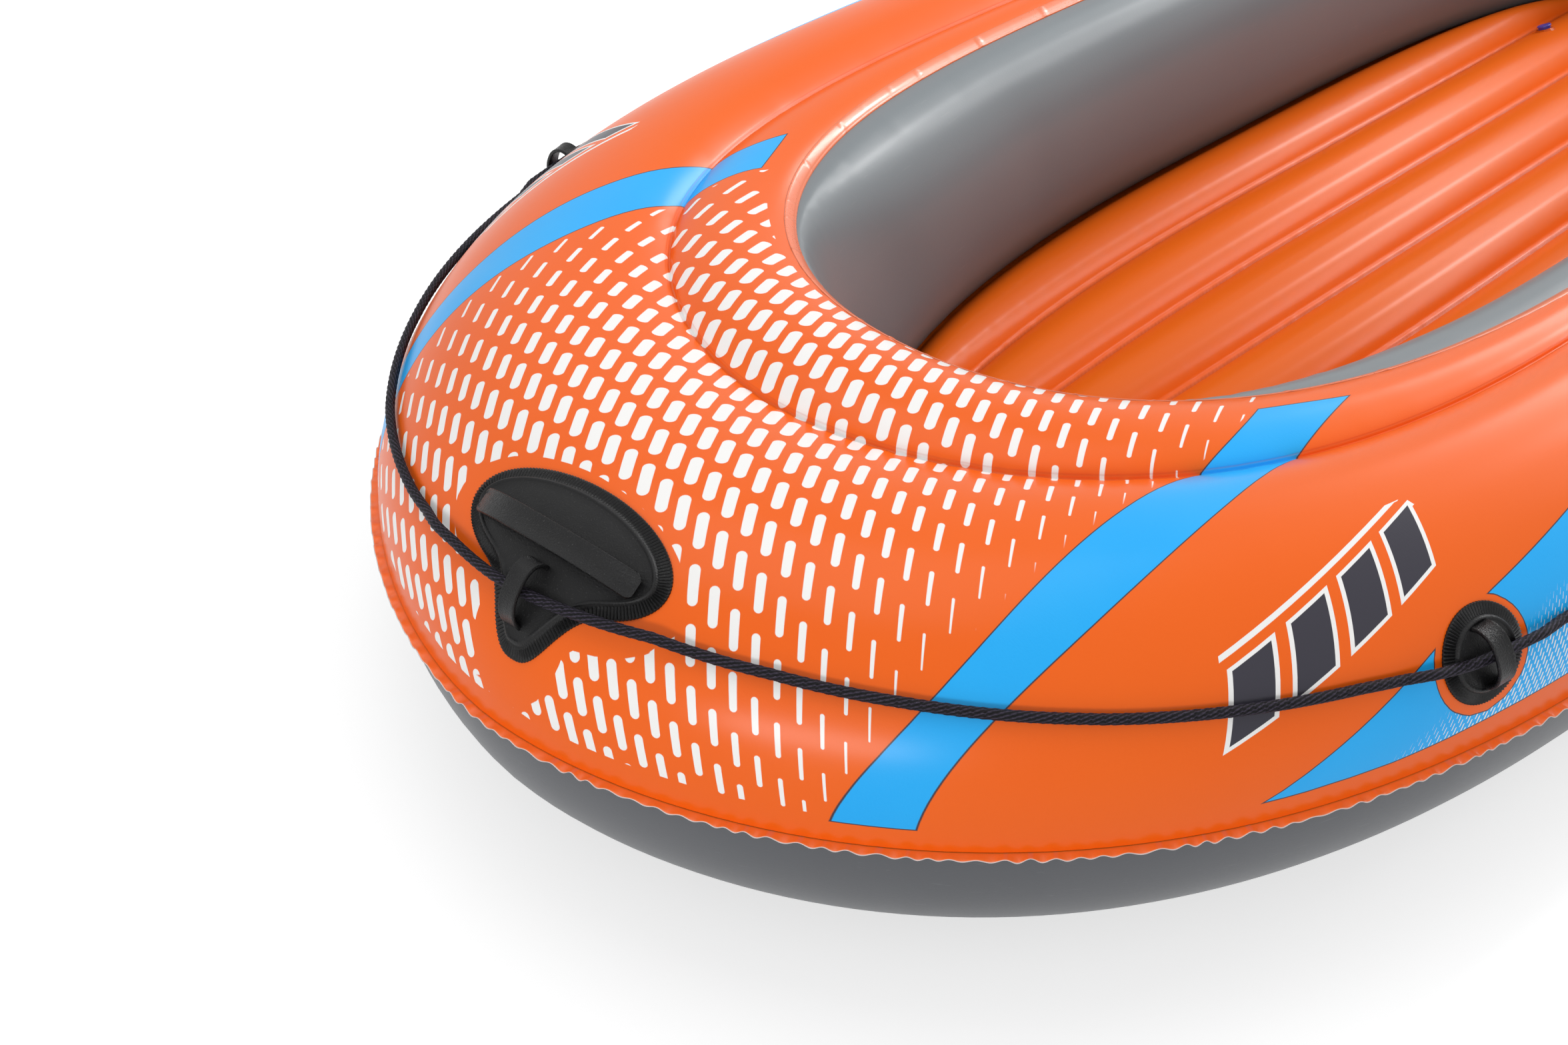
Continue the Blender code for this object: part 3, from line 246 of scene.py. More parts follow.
SEAM = Curve(0.465, 1.055, 1.055, 1.78, 3.99, 3.99)
CREASE = Curve(0.31500, 0.817, 0.890, 1.85, 4.74, 4.74)
RIM = Curve(0.27993, 0.704, 0.810, 2.11, 3.93, 3.93)
FLOOR_EDGE = Curve(0.27893, 0.674, 0.790, 2.11, 2.6, 3.93)
TUBE_TOP = 0.2635
TUBE_SHOULDER = 0.1375
SHOULDER_share = 0.70
TOP_START = 0.1398
TUBE_RISE = TUBE_TOP - TOP_START
FIRST_ANGLE, FINE_RINGS, HALVINGS = 0.0005, 6001, 40

ROPE_RADIUS = 0.0034
ROPE_GAP = 0.0009
PLATE_LIFT = 0.0038
ROPE_OVERHANG = 0.010
ROPE_RAMP = 0.020
ROPE_STRANDS = 8
ROPE_CELL = 0.0064
ROPE_AROUND = 24
ROPE_STEP = 0.0013
STRAND_RELIEF = 0.24
STRAND_ARCH = 0.35
KNOT_SIZE = 0.0042
KNOT_DEPTH_share = 1.3
KNOT_REACH = 0.0135
KNOT_POINTS = 120
ROUTE_RINGS = 2400
# Bearing from the bow towards port, in degrees, and how far up the tube's side the rope runs there
ROPE_HEIGHT_shares = np.array([
    (-180, 0.6241), (-148, 0.4867), (-32, 0.4867), (-13, 0.5069), (-7, 0.5635), (-3, 0.6160), (0, 0.6362),
    (6, 0.6807), (10, 0.6686), (14, 0.6403), (20, 0.5877), (28, 0.5352), (32, 0.4867), (148, 0.4867),
    (180, 0.6241)])
PLATE_LENGTH, GROMMET_LENGTH = 0.158, 0.060
GROMMETS = [f"{side}_{place}_rope_grommet"
            for side in ("port", "starboard") for place in ("fore", "mid", "aft")]
LOOP_LENGTHS = {"bow_handle_plate": PLATE_LENGTH, "stern_handle_plate": PLATE_LENGTH,
                **dict.fromkeys(GROMMETS, GROMMET_LENGTH)}


def end_of(curve, y):
    """How far the curve reaches at the end of the boat where y lies, and its power there."""
    return np.where(y < 0, curve.bow, curve.stern), np.where(y < 0, curve.bow_power, curve.stern_power)


def curve_value(curve, x, y):
    """One on the curve, less inside it."""
    length, power = end_of(curve, y)
    return (np.abs(x) / curve.half_width) ** curve.side_power + (np.abs(y) / length) ** power


def curve_point(curve, angle):
    side, fore = np.sin(angle), -np.cos(angle)
    length, power = end_of(curve, fore)
    x = np.sign(side) * np.abs(side) ** (2 / curve.side_power) * curve.half_width
    return x, np.sign(fore) * np.abs(fore) ** (2 / power) * length


def curve_outward(curve, x, y):
    length, power = end_of(curve, y)
    reach = curve.half_width
    across = curve.side_power * (np.abs(x) / reach) ** (curve.side_power - 1) / reach
    along = power * (np.abs(y) / length) ** (power - 1) / length
    size = np.hypot(across, along)
    return np.sign(x) * across / size, np.sign(y) * along / size


def crossing(curve, x, y, dx, dy):
    """Distance from each point to the curve along its direction, found by halving."""
    near, far = np.zeros_like(x), np.full_like(x, 2 * SEAM.half_width)
    inside = curve_value(curve, x, y) < 1
    for _ in range(HALVINGS):
        middle = (near + far) / 2
        still = (curve_value(curve, x + dx * middle, y + dy * middle) < 1) == inside
        near, far = np.where(still, middle, near), np.where(still, far, middle)
    return near


def rings_at(angle):
    """Lines across the hull, square to the crease, at angles from the bow towards port."""
    cx, cy = curve_point(CREASE, angle)
    ox, oy = curve_outward(CREASE, cx, cy)
    crease_at = crossing(SEAM, cx, cy, ox, oy)
    rim_at = crease_at + crossing(RIM, cx, cy, -ox, -oy)
    floor_at = crease_at + crossing(FLOOR_EDGE, cx, cy, -ox, -oy)
    return Ring(cx + ox * crease_at, cy + oy * crease_at, -ox, -oy, crease_at, rim_at, floor_at)


def at_ring(rings, inward, height):
    """Points at distances inward from the outer seam; height has the same shape as inward."""
    extra = (slice(None),) + (None,) * (np.ndim(inward) - 1)
    return np.stack([rings.x[extra] + rings.inward_x[extra] * inward,
                     rings.y[extra] + rings.inward_y[extra] * inward, height], -1)


def travelled_along(points):
    """Length of the line up to each of its points."""
    return np.concatenate([[0.0], np.cumsum(np.linalg.norm(np.diff(points, axis=0), axis=1))])


def even_rings(count):
    """Lines round the hull spaced evenly along the main tube, with the length travelled."""
    angles = np.linspace(FIRST_ANGLE, 2 * math.pi + FIRST_ANGLE, FINE_RINGS)
    fine = rings_at(angles)
    travelled = travelled_along(at_ring(fine, fine.crease_at / 3, 0 * fine.x))
    wanted = np.linspace(0.0, travelled[-1], count, endpoint=False)
    return rings_at(np.interp(wanted, travelled, angles)), wanted


def shoulder_of(rings):
    return np.minimum(TUBE_SHOULDER, rings.crease_at * SHOULDER_share)


def unit(vectors):
    return vectors / np.linalg.norm(vectors, axis=-1, keepdims=True)


def middle_of(node):
    low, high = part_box(node)
    return np.array((low + high) / 2)


def smooth_mesh(name, points, faces, sharp_angle=None):
    mesh = bpy.data.meshes.new(name)
    mesh.from_pydata(points.reshape(-1, 3).tolist(), [], faces)
    mesh.shade_smooth()
    if sharp_angle:
        mesh.set_sharp_from_angle(angle=math.radians(sharp_angle))
    return mesh


def grid_mesh(name, grid, close_rows=False, close_columns=False, flip=False, caps=False):
    """A smooth mesh of quads through a grid of points, rows by columns."""
    number = np.arange(grid.shape[0] * grid.shape[1]).reshape(grid.shape[:2])
    down = np.roll(number, -1, 0) if close_rows else number[1:]
    here = number if close_rows else number[:-1]
    if close_columns:
        quads = [here, down, np.roll(down, -1, 1), np.roll(here, -1, 1)]
    else:
        quads = [here[:, :-1], down[:, :-1], down[:, 1:], here[:, 1:]]
    if flip:
        quads = quads[::-1]
    faces = np.stack(quads, -1).reshape(-1, 4).tolist()
    if caps:
        faces += [number[0].tolist(), number[-1][::-1].tolist()]
    return smooth_mesh(name, grid, faces)


def mark(mesh, name, *values):
    """Keeps up to three numbers a point on the mesh, for its material."""
    layer = mesh.attributes.new(name, "FLOAT_VECTOR", "POINT")
    together = np.stack(np.broadcast_arrays(*values, 0.0, 0.0)[:3], -1)
    layer.data.foreach_set("vector", np.ascontiguousarray(together, np.float32).reshape(-1))


def add_piece(mesh, look, node):
    """Puts a piece of the hull on the boat, in place of its solid."""
    made = bpy.data.objects.new(mesh.name, mesh)
    scene.collection.objects.link(made)
    mesh.materials.clear()
    mesh.materials.append(look)
    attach(made, "boat")
    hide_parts(node)


def shade(red, green, blue):
    """A colour as it looks on a screen, from 0 to 255, as the shader wants it."""
    linear = [((c / 255 + 0.055) / 1.055) ** 2.4 if c > 10 else c / 255 / 12.92 for c in (red, green, blue)]
    return (*linear, 1.0)


# Yarn colours: black, a painted highlight for the strand crowns, pale filaments that are partly painted
# glints, and painted shadow.
YARN_BLACK, YARN_CROWN_HIGHLIGHT = shade(18, 16, 22), shade(90, 82, 102)
YARN_FILAMENT_AND_GLINT, YARN_SHADOW = shade(110, 102, 124), shade(4, 4, 5)


def rope_line():
    """Centre line of the rope and the hull's normals under it, from knot to knot."""
    rings, _ = even_rings(ROUTE_RINGS)
    bearing = np.degrees(np.arctan2(rings.x, -rings.y))
    lean = np.arcsin(np.interp(bearing, *ROPE_HEIGHT_shares.T))
    shoulder = shoulder_of(rings)
    point = at_ring(rings, shoulder * (1 - np.cos(lean)), TOP_START + TUBE_RISE * np.sin(lean))
    outward, upward = np.cos(lean) / shoulder, np.sin(lean) / TUBE_RISE
    normal = unit(np.stack([-rings.inward_x * outward, -rings.inward_y * outward, upward], -1))
    lift = np.zeros(len(point))
    for node, length in LOOP_LENGTHS.items():
        beyond = np.linalg.norm(point - middle_of(node), axis=1) - length / 2 - ROPE_OVERHANG
        lift = np.maximum(lift, np.clip(1 - beyond / ROPE_RAMP, 0, 1) * PLATE_LIFT)
    line = point + normal * (ROPE_RADIUS + ROPE_GAP + lift)[:, None]
    knot = middle_of("rope_knot")
    first = int(np.argmin(np.linalg.norm(line - knot, axis=1)))
    line, normal = np.roll(line, -first, 0), np.roll(normal, -first, 0)
    away = np.linalg.norm(line - line[0], axis=1) > KNOT_REACH
    return line[away], normal[away], knot, normal[0]


def braided_cord(name, line, normal, closed=False):
    """A round cord whose surface stands up in the crossing strands of a braid."""
    if closed:
        line, normal = np.vstack([line, line[:1]]), np.vstack([normal, normal[:1]])
    travelled = travelled_along(line)
    at = np.linspace(0, travelled[-1], int(travelled[-1] / ROPE_STEP), endpoint=not closed)
    centre = np.stack([np.interp(at, travelled, line[:, i]) for i in range(3)], 1)
    upward = np.stack([np.interp(at, travelled, normal[:, i]) for i in range(3)], 1)
    if closed:
        ahead = unit(np.roll(centre, -1, 0) - np.roll(centre, 1, 0))
    else:
        ahead = unit(np.gradient(centre, axis=0))
    upward = unit(upward - ahead * (upward * ahead).sum(1, keepdims=True))
    sideways = np.cross(ahead, upward)
    turn = np.arange(ROPE_AROUND) * 2 * math.pi / ROPE_AROUND
    around = turn[None, :] * ROPE_STRANDS / (2 * math.pi)
    left, right = around + at[:, None] / ROPE_CELL, around - at[:, None] / ROPE_CELL
    over = (np.floor(left) + np.floor(right)) % 2 == 0
    across = np.where(over, left % 1, right % 1)
    along = np.where(over, right % 1, left % 1)
    strand = np.sin(math.pi * across) * (1 - STRAND_ARCH + STRAND_ARCH * np.sin(math.pi * along))
    radius = ROPE_RADIUS * (1 - STRAND_RELIEF * (1 - strand))
    grid = centre[:, None, :] + radius[..., None] * (
        upward[:, None, :] * np.cos(turn)[None, :, None] + sideways[:, None, :] * np.sin(turn)[None, :, None])
    mesh = grid_mesh(name, grid, close_rows=closed, close_columns=True, flip=True, caps=not closed)
    mark(mesh, "braid", left, right, strand)
    return mesh


def knot_line(centre, normal):
    """A closed overhand knot laid flat on the tube."""
    along = unit(np.cross((0.0, 0.0, 1.0), normal))
    up = np.cross(normal, along)
    turn = np.linspace(0, 2 * math.pi, KNOT_POINTS, endpoint=False)
    flat_x = np.sin(turn) + 2 * np.sin(2 * turn)
    flat_y = np.cos(turn) - 2 * np.cos(2 * turn)
    high = -np.sin(3 * turn) * KNOT_DEPTH_share
    points = (flat_x[:, None] * along + flat_y[:, None] * up + high[:, None] * normal) * KNOT_SIZE
    middle = (points.max(0) + points.min(0)) / 2
    return points - middle + centre, np.repeat(normal[None, :], len(turn), 0)


def make_rope_look():
    """Black yarn with paler filaments along each strand, weighted to the crowns as painted glints, a painted
    highlight on each strand's crown, and painted shadow between the strands.
    """
    look, wires, shader = new_look("braided_cord")
    left, right, strand = wires.marked("braid")
    fibre = wires.node("ShaderNodeCombineXYZ", X=left, Y=right, Z=strand)
    along_yarn = wires.node("ShaderNodeMapping", Vector=fibre, Scale=(9.0, 2.0, 1.0))
    grain = wires.noise(along_yarn, 1.6, 3.0, 0.6)
    # Painted highlight on each strand's crown, and pale filament specks weighted to the crowns, which are
    # partly painted glints.
    painted_crown_highlight, filament_and_glint = strand ** 4.0 * 0.7, (grain - 0.60).inside(0.10) * strand * 0.7
    yarn = wires.mix(filament_and_glint, wires.mix(painted_crown_highlight, YARN_BLACK, YARN_CROWN_HIGHLIGHT), YARN_FILAMENT_AND_GLINT)
    shadow = 1.0 - (strand - 0.50).inside(0.5)
    wires.fill(shader, Base_Color=wires.mix(shadow, yarn, YARN_SHADOW), Roughness=grain.scaled(0.3, 0.42),
               Specular_IOR_Level=0.16, Normal=wires.bump(grain, 0.5, 0.0004))
    return look


ROPE_LOOK = make_rope_look()
rope_centre, rope_normal, knot_place, knot_normal = rope_line()
add_piece(braided_cord("grab_rope_braid", rope_centre, rope_normal), ROPE_LOOK, "grab_rope")
knot_mesh = braided_cord("rope_knot_braid", *knot_line(knot_place, knot_normal), closed=True)
add_piece(knot_mesh, ROPE_LOOK, "rope_knot")


# Hull top
# Orange vinyl sheet, printed flat with white dashes, blue bands and a side flash, then welded to
# the grey underside at the outer seam, to an inner web at the crease and to the cockpit wall.

CREASE_DROP = 0.017
RIM_DROP = 0.021
CREASE_HEIGHT = TUBE_TOP - CREASE_DROP
RIM_HEIGHT = TUBE_TOP - RIM_DROP
CREASE_SHARPNESS = 2.4
BULGE_FULLNESS = 0.75
INNER_TUBE_RISE_share = 0.17
HULL_RINGS = 380
SIDE_STEPS, TUBE_STEPS, BULGE_STEPS = 30, 12, 22
# Pucker at a weld: its depth, how far it reaches, waves round the hull and the seed of its folds
SEAM_PUCKER = (0.0007, 0.016, 150, 3)
CREASE_PUCKER = (0.0009, 0.020, 95, 5)
RIM_PUCKER = (0.0007, 0.016, 110, 8)
WELD_DIP, WELD_DIP_REACH = 0.0006, 0.0016
HELD_EDGE = 0.002
# Where along the boat the puckers start to calm, how fast, and what is left of them at the sides
TOP_CALM = (0.75, 0.35, 0.12)
FOLD_WAVES = (0.61, 1.0, 1.37, 1.83)


def deck_height(rings, inward):
    """Height of the sheet between the top of the tube and the cockpit edge."""
    shoulder = shoulder_of(rings)[:, None]
    crease_at, rim_at = rings.crease_at[:, None], rings.rim_at[:, None]
    tube_share = np.clip((inward - shoulder) / (crease_at - shoulder), 0, 1)
    width = rim_at - crease_at
    share = np.clip((inward - crease_at) / width, 0, 1)
    bulge = np.clip(1 - (2 * share - 1) ** 2, 0, 1) ** BULGE_FULLNESS
    inner = CREASE_HEIGHT + (RIM_HEIGHT - CREASE_HEIGHT) * share + INNER_TUBE_RISE_share * width * bulge
    return np.where(inward <= crease_at, TUBE_TOP - CREASE_DROP * tube_share ** CREASE_SHARPNESS, inner)


def top_section(rings):
    """Distances inward and heights over the sheet, from the outer seam to the cockpit edge."""
    shoulder, crease_at = shoulder_of(rings)[:, None], rings.crease_at[:, None]
    turn = np.linspace(0, math.pi / 2, SIDE_STEPS + 1)[None, :]
    side = shoulder * (1 - np.cos(turn))
    rise = np.sin(np.linspace(0, math.pi / 2, TUBE_STEPS + 1))[None, 1:]
    spread = (1 - np.cos(np.linspace(0, math.pi, BULGE_STEPS + 1)[None, 1:])) / 2
    tube = shoulder + (crease_at - shoulder) * rise
    deck = np.hstack([tube, crease_at + (rings.rim_at[:, None] - crease_at) * spread])
    height = np.hstack([TOP_START + TUBE_RISE * np.sin(turn) + 0 * side, deck_height(rings, deck)])
    return np.hstack([side, deck]), height


def across_sheet(inward, height):
    """Distance over the sheet from its first column to each point."""
    steps = np.hypot(np.diff(inward, axis=1), np.diff(height, axis=1))
    return np.hstack([np.zeros((len(inward), 1)), np.cumsum(steps, axis=1)])


hull_rings, hull_run = even_rings(HULL_RINGS)
hull_length_round = hull_run[-1] + hull_run[1]
top_inward, top_height = top_section(hull_rings)
top_grid = at_ring(hull_rings, top_inward, top_height)
from_seam = across_sheet(top_inward, top_height)
crease_from_seam = from_seam[:, SIDE_STEPS + TUBE_STEPS, None]
outward_of_crease = crease_from_seam - from_seam
from_rim = from_seam[:, -1:] - from_seam
run = np.repeat(hull_run[:, None], top_grid.shape[1], 1)


def hull_tree():
    """The plain smooth hull that the rubber plates are bent onto."""
    mesh = grid_mesh("plain_hull", top_grid, close_rows=True)
    tree = BVHTree.FromPolygons([v.co for v in mesh.vertices], [f.vertices for f in mesh.polygons])
    bpy.data.meshes.remove(mesh)
    return tree


HULL = hull_tree()


def folds(along, length, waves, seed):
    """Uneven small folds that close up round the hull: about this many waves in the length."""
    draw = np.random.default_rng(seed)
    turn = along * 2 * math.pi / length
    total = np.zeros_like(along)
    for share in FOLD_WAVES:
        total += np.sin(turn * round(waves * share) + draw.uniform(0, 2 * math.pi)) / len(FOLD_WAVES)
    return total


def calmer_at_sides(grid, reach, start, least):
    return np.clip(np.abs(grid[..., 1]) / reach - start, least, 1.0)


def pucker(along, from_weld, depth, reach, waves, seed):
    return folds(along, hull_length_round, waves, seed) * np.exp(-from_weld / reach) * depth


def held(*distances):
    """Nothing at the welded edges, one a little inside them."""
    return np.prod([np.clip(distance / HELD_EDGE, 0, 1) for distance in distances], axis=0)


def sheet_relief():
    """How far the sheet stands off its smooth form: puckers at the welds, calmer along straight sides."""
    seam = pucker(run, from_seam, *SEAM_PUCKER)
    inner = pucker(run, np.abs(outward_of_crease), *CREASE_PUCKER) + pucker(run, from_rim, *RIM_PUCKER)
    dip = np.exp(-(outward_of_crease / WELD_DIP_REACH) ** 2) * WELD_DIP
    return (seam + inner * calmer_at_sides(top_grid, *TOP_CALM)) * held(from_seam, from_rim) - dip


def pushed_out(mesh, distance):
    """Moves every point along its normal."""
    place, normal = np.zeros(len(mesh.vertices) * 3), np.zeros(len(mesh.vertices) * 3)
    mesh.vertices.foreach_get("co", place)
    mesh.vertex_normals.foreach_get("vector", normal)
    place += normal * np.repeat(distance.reshape(-1), 3)
    mesh.vertices.foreach_set("co", place)
    mesh.update()


# How the printed rows of dashes lie on the filled tube: the column and row number at a point,
# as sums of powers of the place across the boat and the way outward from the crease
DASH_UNIT = 0.2
DASH_ORIGIN = 0.1
COLUMN_SUM = {
    (0, 0): -0.226, (0, 1): -8.786, (0, 2): -3.164, (0, 3): 0.477, (0, 4): 1.316, (1, 0): 12.19,
    (1, 1): 0.062, (1, 2): 1.916, (1, 3): 0.35, (2, 0): 2.614, (2, 1): -0.385, (2, 2): 1.494,
    (3, 0): 0.13, (3, 1): -0.706, (4, 0): -0.04}
ROW_SUM = {
    (0, 0): 0.178, (0, 1): 7.631, (0, 2): 0.557, (0, 3): 0.181, (0, 4): -0.105, (1, 0): -0.923,
    (1, 1): 0.168, (1, 2): -0.044, (1, 3): 0.326, (2, 0): -2.46, (2, 1): 1.22, (2, 2): -1.156,
    (3, 0): -0.068, (3, 1): -0.02, (4, 0): -0.123}
# A dash's width, pitch and length and the columns' pitch in millimetres, and their slant in rows
DASH_WIDTH, DASH_PITCH, DASH_LINE, COLUMN_PITCH, COLUMN_SHIFT = 8.1, 33.9, 17.5, 13.26, 0.338
DASH_MIDDLE, DASH_HALF_FIELD, DASH_FALL = -0.010, 0.245, 2.2
DASH_START_Y = 0.55
DASH_SEAM_MARGIN, DASH_PLATE_MARGIN, DASH_BAND_MARGIN = 0.018, 0.009, 0.003
DASH_RIM_MARGIN, DASH_RIM_MARGIN_EXTRA = 0.012, 0.014
PLATE_OVAL, PLATE_OVAL_UP, PLATE_OVAL_SCALE = (0.079, 0.040), 0.012, 0.045
PLATE_LOBE, PLATE_LOBE_PLACE, PLATE_LOBE_STRETCH = 0.026, (0.006, -0.040), 1.25

# Edges of the blue bands: (place along, place across) from the inner tube down to the outer seam
BAND_INNER = np.array([(0.616, 0.2217), (0.698, 0.2310), (0.763, 0.2324), (0.824, 0.2356), (0.880, 0.2359),
                       (0.921, 0.2354), (0.974, 0.2176)])
BAND_OUTER = np.array([(0.559, 0.2520), (0.639, 0.2612), (0.677, 0.2692), (0.730, 0.2724), (0.798, 0.2733),
                       (0.855, 0.2700), (0.901, 0.2662), (0.949, 0.2527)])
BAND_SEAM_MARGIN = 0.014
BAND_END_SCALE = 0.47
BAND_MIDDLE, BAND_OVERRUN = 0.8, (0.02, 0.03)

# The side flash: (place along, lean of the tube's side in radians), and metres to a radian there
FLASH_UPPER = np.array([(-0.7994, 0.111), (-0.678, 0.645), (-0.638, 0.771), (-0.550, 0.986), (-0.44, 1.17),
                        (-0.30, 1.24), (0.0, 1.10)])
FLASH_LOWER = np.array([(-0.7994, 0.111), (-0.708, 0.128), (-0.651, 0.154), (-0.587, 0.172), (0.0, 0.180)])
FLASH_UPPER_SCALE, FLASH_LOWER_SCALE = 0.11, 0.12
DECK_share, DECK_LEAN = 0.32, 1.57
TICK_PITCH, TICK_ROW, TICK_LEAN = 0.0058, 0.0064, 0.55
TICK_LINE, TICK_THICK = 0.0034, 0.0011
TICKS_FROM, TICKS_RISE, TICKS_TALLEST, TICK_GROWTH, TICK_TAPER = 0.068, 0.42, 0.060, 0.030, 0.6

# The decal's first corner and its two sides, as (place along, lean of the tube's side)
DECAL_START, DECAL_ALONG, DECAL_UP = (-0.820, 0.386), (0.168, 0.615), (0.020, 0.370)
DECAL_LENGTH, DECAL_HEIGHT, DECAL_BORDER = 0.168, 0.056, 0.0032
BARS, BAR_HALF_share = 4, 0.40
LINE_UP_share, LINE_HALF_share, LINE_HALF_WIDTH = 1.17, 0.46, 0.0022
GROMMET_RADIUS = GROMMET_LENGTH / 2
GROMMET_CLEAR = 0.0055
PRINT_EDGE = 0.00035
OUTLINE_WIDTH = 0.0007
# The sheet's weld to the web shows as two pressed lines, this far out from the crease
WELD_LINE_OUT, WELD_LINE_HALF, WELD_LINE_EDGE = 0.0028, 0.0005, 0.0006

ORANGE, ORANGE_PALE, ORANGE_PRESSED = shade(246, 100, 12), shade(247, 105, 18), shade(190, 76, 30)
BLUE, BLUE_DEEP = shade(44, 184, 255), shade(16, 172, 252)
INK, INK_LINE, WHITE_INK = shade(58, 56, 66), shade(62, 52, 62), shade(250, 249, 247)
LINES_ALONG = (900.0, 28.0, 900.0)
SHEET_BUMP = (0.35, 0.00025)


def power_sum(terms, across, outward):
    return sum(value * across ** i * outward ** j for (i, j), value in terms.items())


def smooth_edge(table, along):
    """A smooth curve through the points of a printed edge."""
    fit = np.polyfit(table[:, 0] - BAND_MIDDLE, table[:, 1], 4)
    near = np.clip(along, table[0, 0] - BAND_OVERRUN[0], table[-1, 0] + BAND_OVERRUN[1])
    return np.polyval(fit, near - BAND_MIDDLE)


def plate_distance(x, y, z):
    """Distance from the edge of the nearest handle plate, roughly an oval with a lobe below it."""
    nearest = np.full(x.shape, 1.0)
    (half_width, half_depth), (lobe_across, lobe_up) = PLATE_OVAL, PLATE_LOBE_PLACE
    for word, end in (("bow", -1), ("stern", 1)):
        middle_x, middle_y, middle_z = middle_of(word + "_handle_plate")
        across = (x - middle_x) * -end
        up = np.hypot(np.abs(y) - abs(middle_y), z - middle_z) * np.sign(z - middle_z)
        oval = (np.hypot(across / half_width, (up - PLATE_OVAL_UP) / half_depth) - 1) * PLATE_OVAL_SCALE
        lobe = np.hypot(across - lobe_across, (up - lobe_up) / PLATE_LOBE_STRETCH) - PLATE_LOBE
        nearest = np.where(y * end > 0, np.minimum(oval, lobe), nearest)
    return nearest


def mark_print(mesh):
    """Keeps on the mesh where each point lies in the printed pattern."""
    x, y, z = np.moveaxis(top_grid, -1, 0)
    along = np.abs(y)
    across, outward = x / DASH_UNIT, (outward_of_crease - DASH_ORIGIN) / DASH_UNIT
    fall = (np.abs(x - DASH_MIDDLE) / DASH_HALF_FIELD) ** DASH_FALL
    mark(mesh, "dashes", power_sum(COLUMN_SUM, across, outward), power_sum(ROW_SUM, across, outward),
         DASH_WIDTH * (1 - fall))

    inner, outer = smooth_edge(BAND_INNER, along), smooth_edge(BAND_OUTER, along)
    rim_margin = DASH_RIM_MARGIN + DASH_RIM_MARGIN_EXTRA * np.clip(-x / DASH_UNIT, 0, 1)
    edges = np.minimum(from_seam - DASH_SEAM_MARGIN, from_rim - rim_margin)
    others = np.minimum(plate_distance(x, y, z) - DASH_PLATE_MARGIN, inner - np.abs(x) - DASH_BAND_MARGIN)
    clear = np.minimum(np.where(along > DASH_START_Y, edges, -1.0), others)
    from_grommet = [np.linalg.norm(top_grid - middle_of(node), axis=-1) for node in GROMMETS]
    mark(mesh, "field", clear, np.min(from_grommet, axis=0) - GROMMET_RADIUS, outward_of_crease)

    (inner_y, inner_x), (outer_y, outer_x) = BAND_INNER[0], BAND_OUTER[0]
    end_line = (along - inner_y) - (np.abs(x) - inner_x) * (outer_y - inner_y) / (outer_x - inner_x)
    band_end = np.minimum(end_line * BAND_END_SCALE, from_seam - BAND_SEAM_MARGIN)
    mark(mesh, "band", np.abs(x) - inner, outer - np.abs(x), band_end)

    lean = np.arcsin(np.clip((z - TOP_START) / TUBE_RISE, 0, 1))
    lean = np.where(outward_of_crease < crease_from_seam * DECK_share, DECK_LEAN, lean)
    upper, lower = np.interp(-along, *FLASH_UPPER.T), np.interp(-along, *FLASH_LOWER.T)
    mark(mesh, "flash", (upper - lean) * FLASH_UPPER_SCALE, (lean - lower) * FLASH_LOWER_SCALE,
         -FLASH_UPPER[0, 0] - along)
    forward, up = -(along + DECAL_START[0]), lean - DECAL_START[1]
    turn = DECAL_ALONG[0] * DECAL_UP[1] - DECAL_ALONG[1] * DECAL_UP[0]
    mark(mesh, "decal", (forward * DECAL_UP[1] - up * DECAL_UP[0]) / turn,
         (DECAL_ALONG[0] * up - DECAL_ALONG[1] * forward) / turn)


def new_group(name, inputs, outputs):
    """An empty node group: its wires, what it is given by name, and the node that takes its results."""
    tree = bpy.data.node_groups.new(name, "ShaderNodeTree")
    for socket, kind in inputs.items():
        tree.interface.new_socket(socket, in_out="INPUT", socket_type=kind)
    for socket in outputs:
        tree.interface.new_socket(socket, in_out="OUTPUT", socket_type="NodeSocketFloat")
    wires = Wires(tree)
    entry = tree.nodes.new("NodeGroupInput")
    given = {socket: Value(wires, entry.outputs[socket]) for socket in inputs}
    return wires, given, tree.nodes.new("NodeGroupOutput")


def make_vinyl_grain():
    """Calendered vinyl: faint drawn lines, a fine pebble, and soft unevenness where it was folded."""
    wires, given, result = new_group(
        "vinyl_grain", {"Roughness": "NodeSocketFloat", "Lines": "NodeSocketVector"},
        ["Roughness", "Height", "Cloud"])
    lines = wires.noise(wires.stretched(given["Lines"]), 1.0)
    cross = wires.noise(wires.stretched((40.0, 1100.0, 700.0)), 1.0, 1.0)
    pebble = wires.noise(wires.stretched(), 1500.0, 1.0)
    cloud = wires.noise(wires.stretched(), 9.0, 3.0)
    uneven = cloud.scaled(0.10, lines.scaled(0.10, -0.10))
    wires.fill(result, Roughness=wires.math("ADD", given["Roughness"], uneven, clamp=True),
               Height=pebble.scaled(0.25, lines * 0.5 + cross * 0.35), Cloud=cloud)
    return wires.tree


VINYL_GRAIN = make_vinyl_grain()


def finish(wires, shader, colour, grain, bump, coat=(0.0, 0.03), height=None, **more):
    """Joins a look's colour, roughness and relief to its shader; a coat is its weight and roughness."""
    wires.fill(shader, Base_Color=colour, Roughness=grain["Roughness"], Coat_Weight=coat[0],
               Coat_Roughness=coat[1], Normal=wires.bump(height or grain["Height"], *bump), **more)


def from_line(along, across, half_length):
    """Distance from a short straight stroke, in the units of its two places."""
    past_end = (abs(along) - half_length).at_least(0.0)
    return (past_end * past_end + across * across) ** 0.5


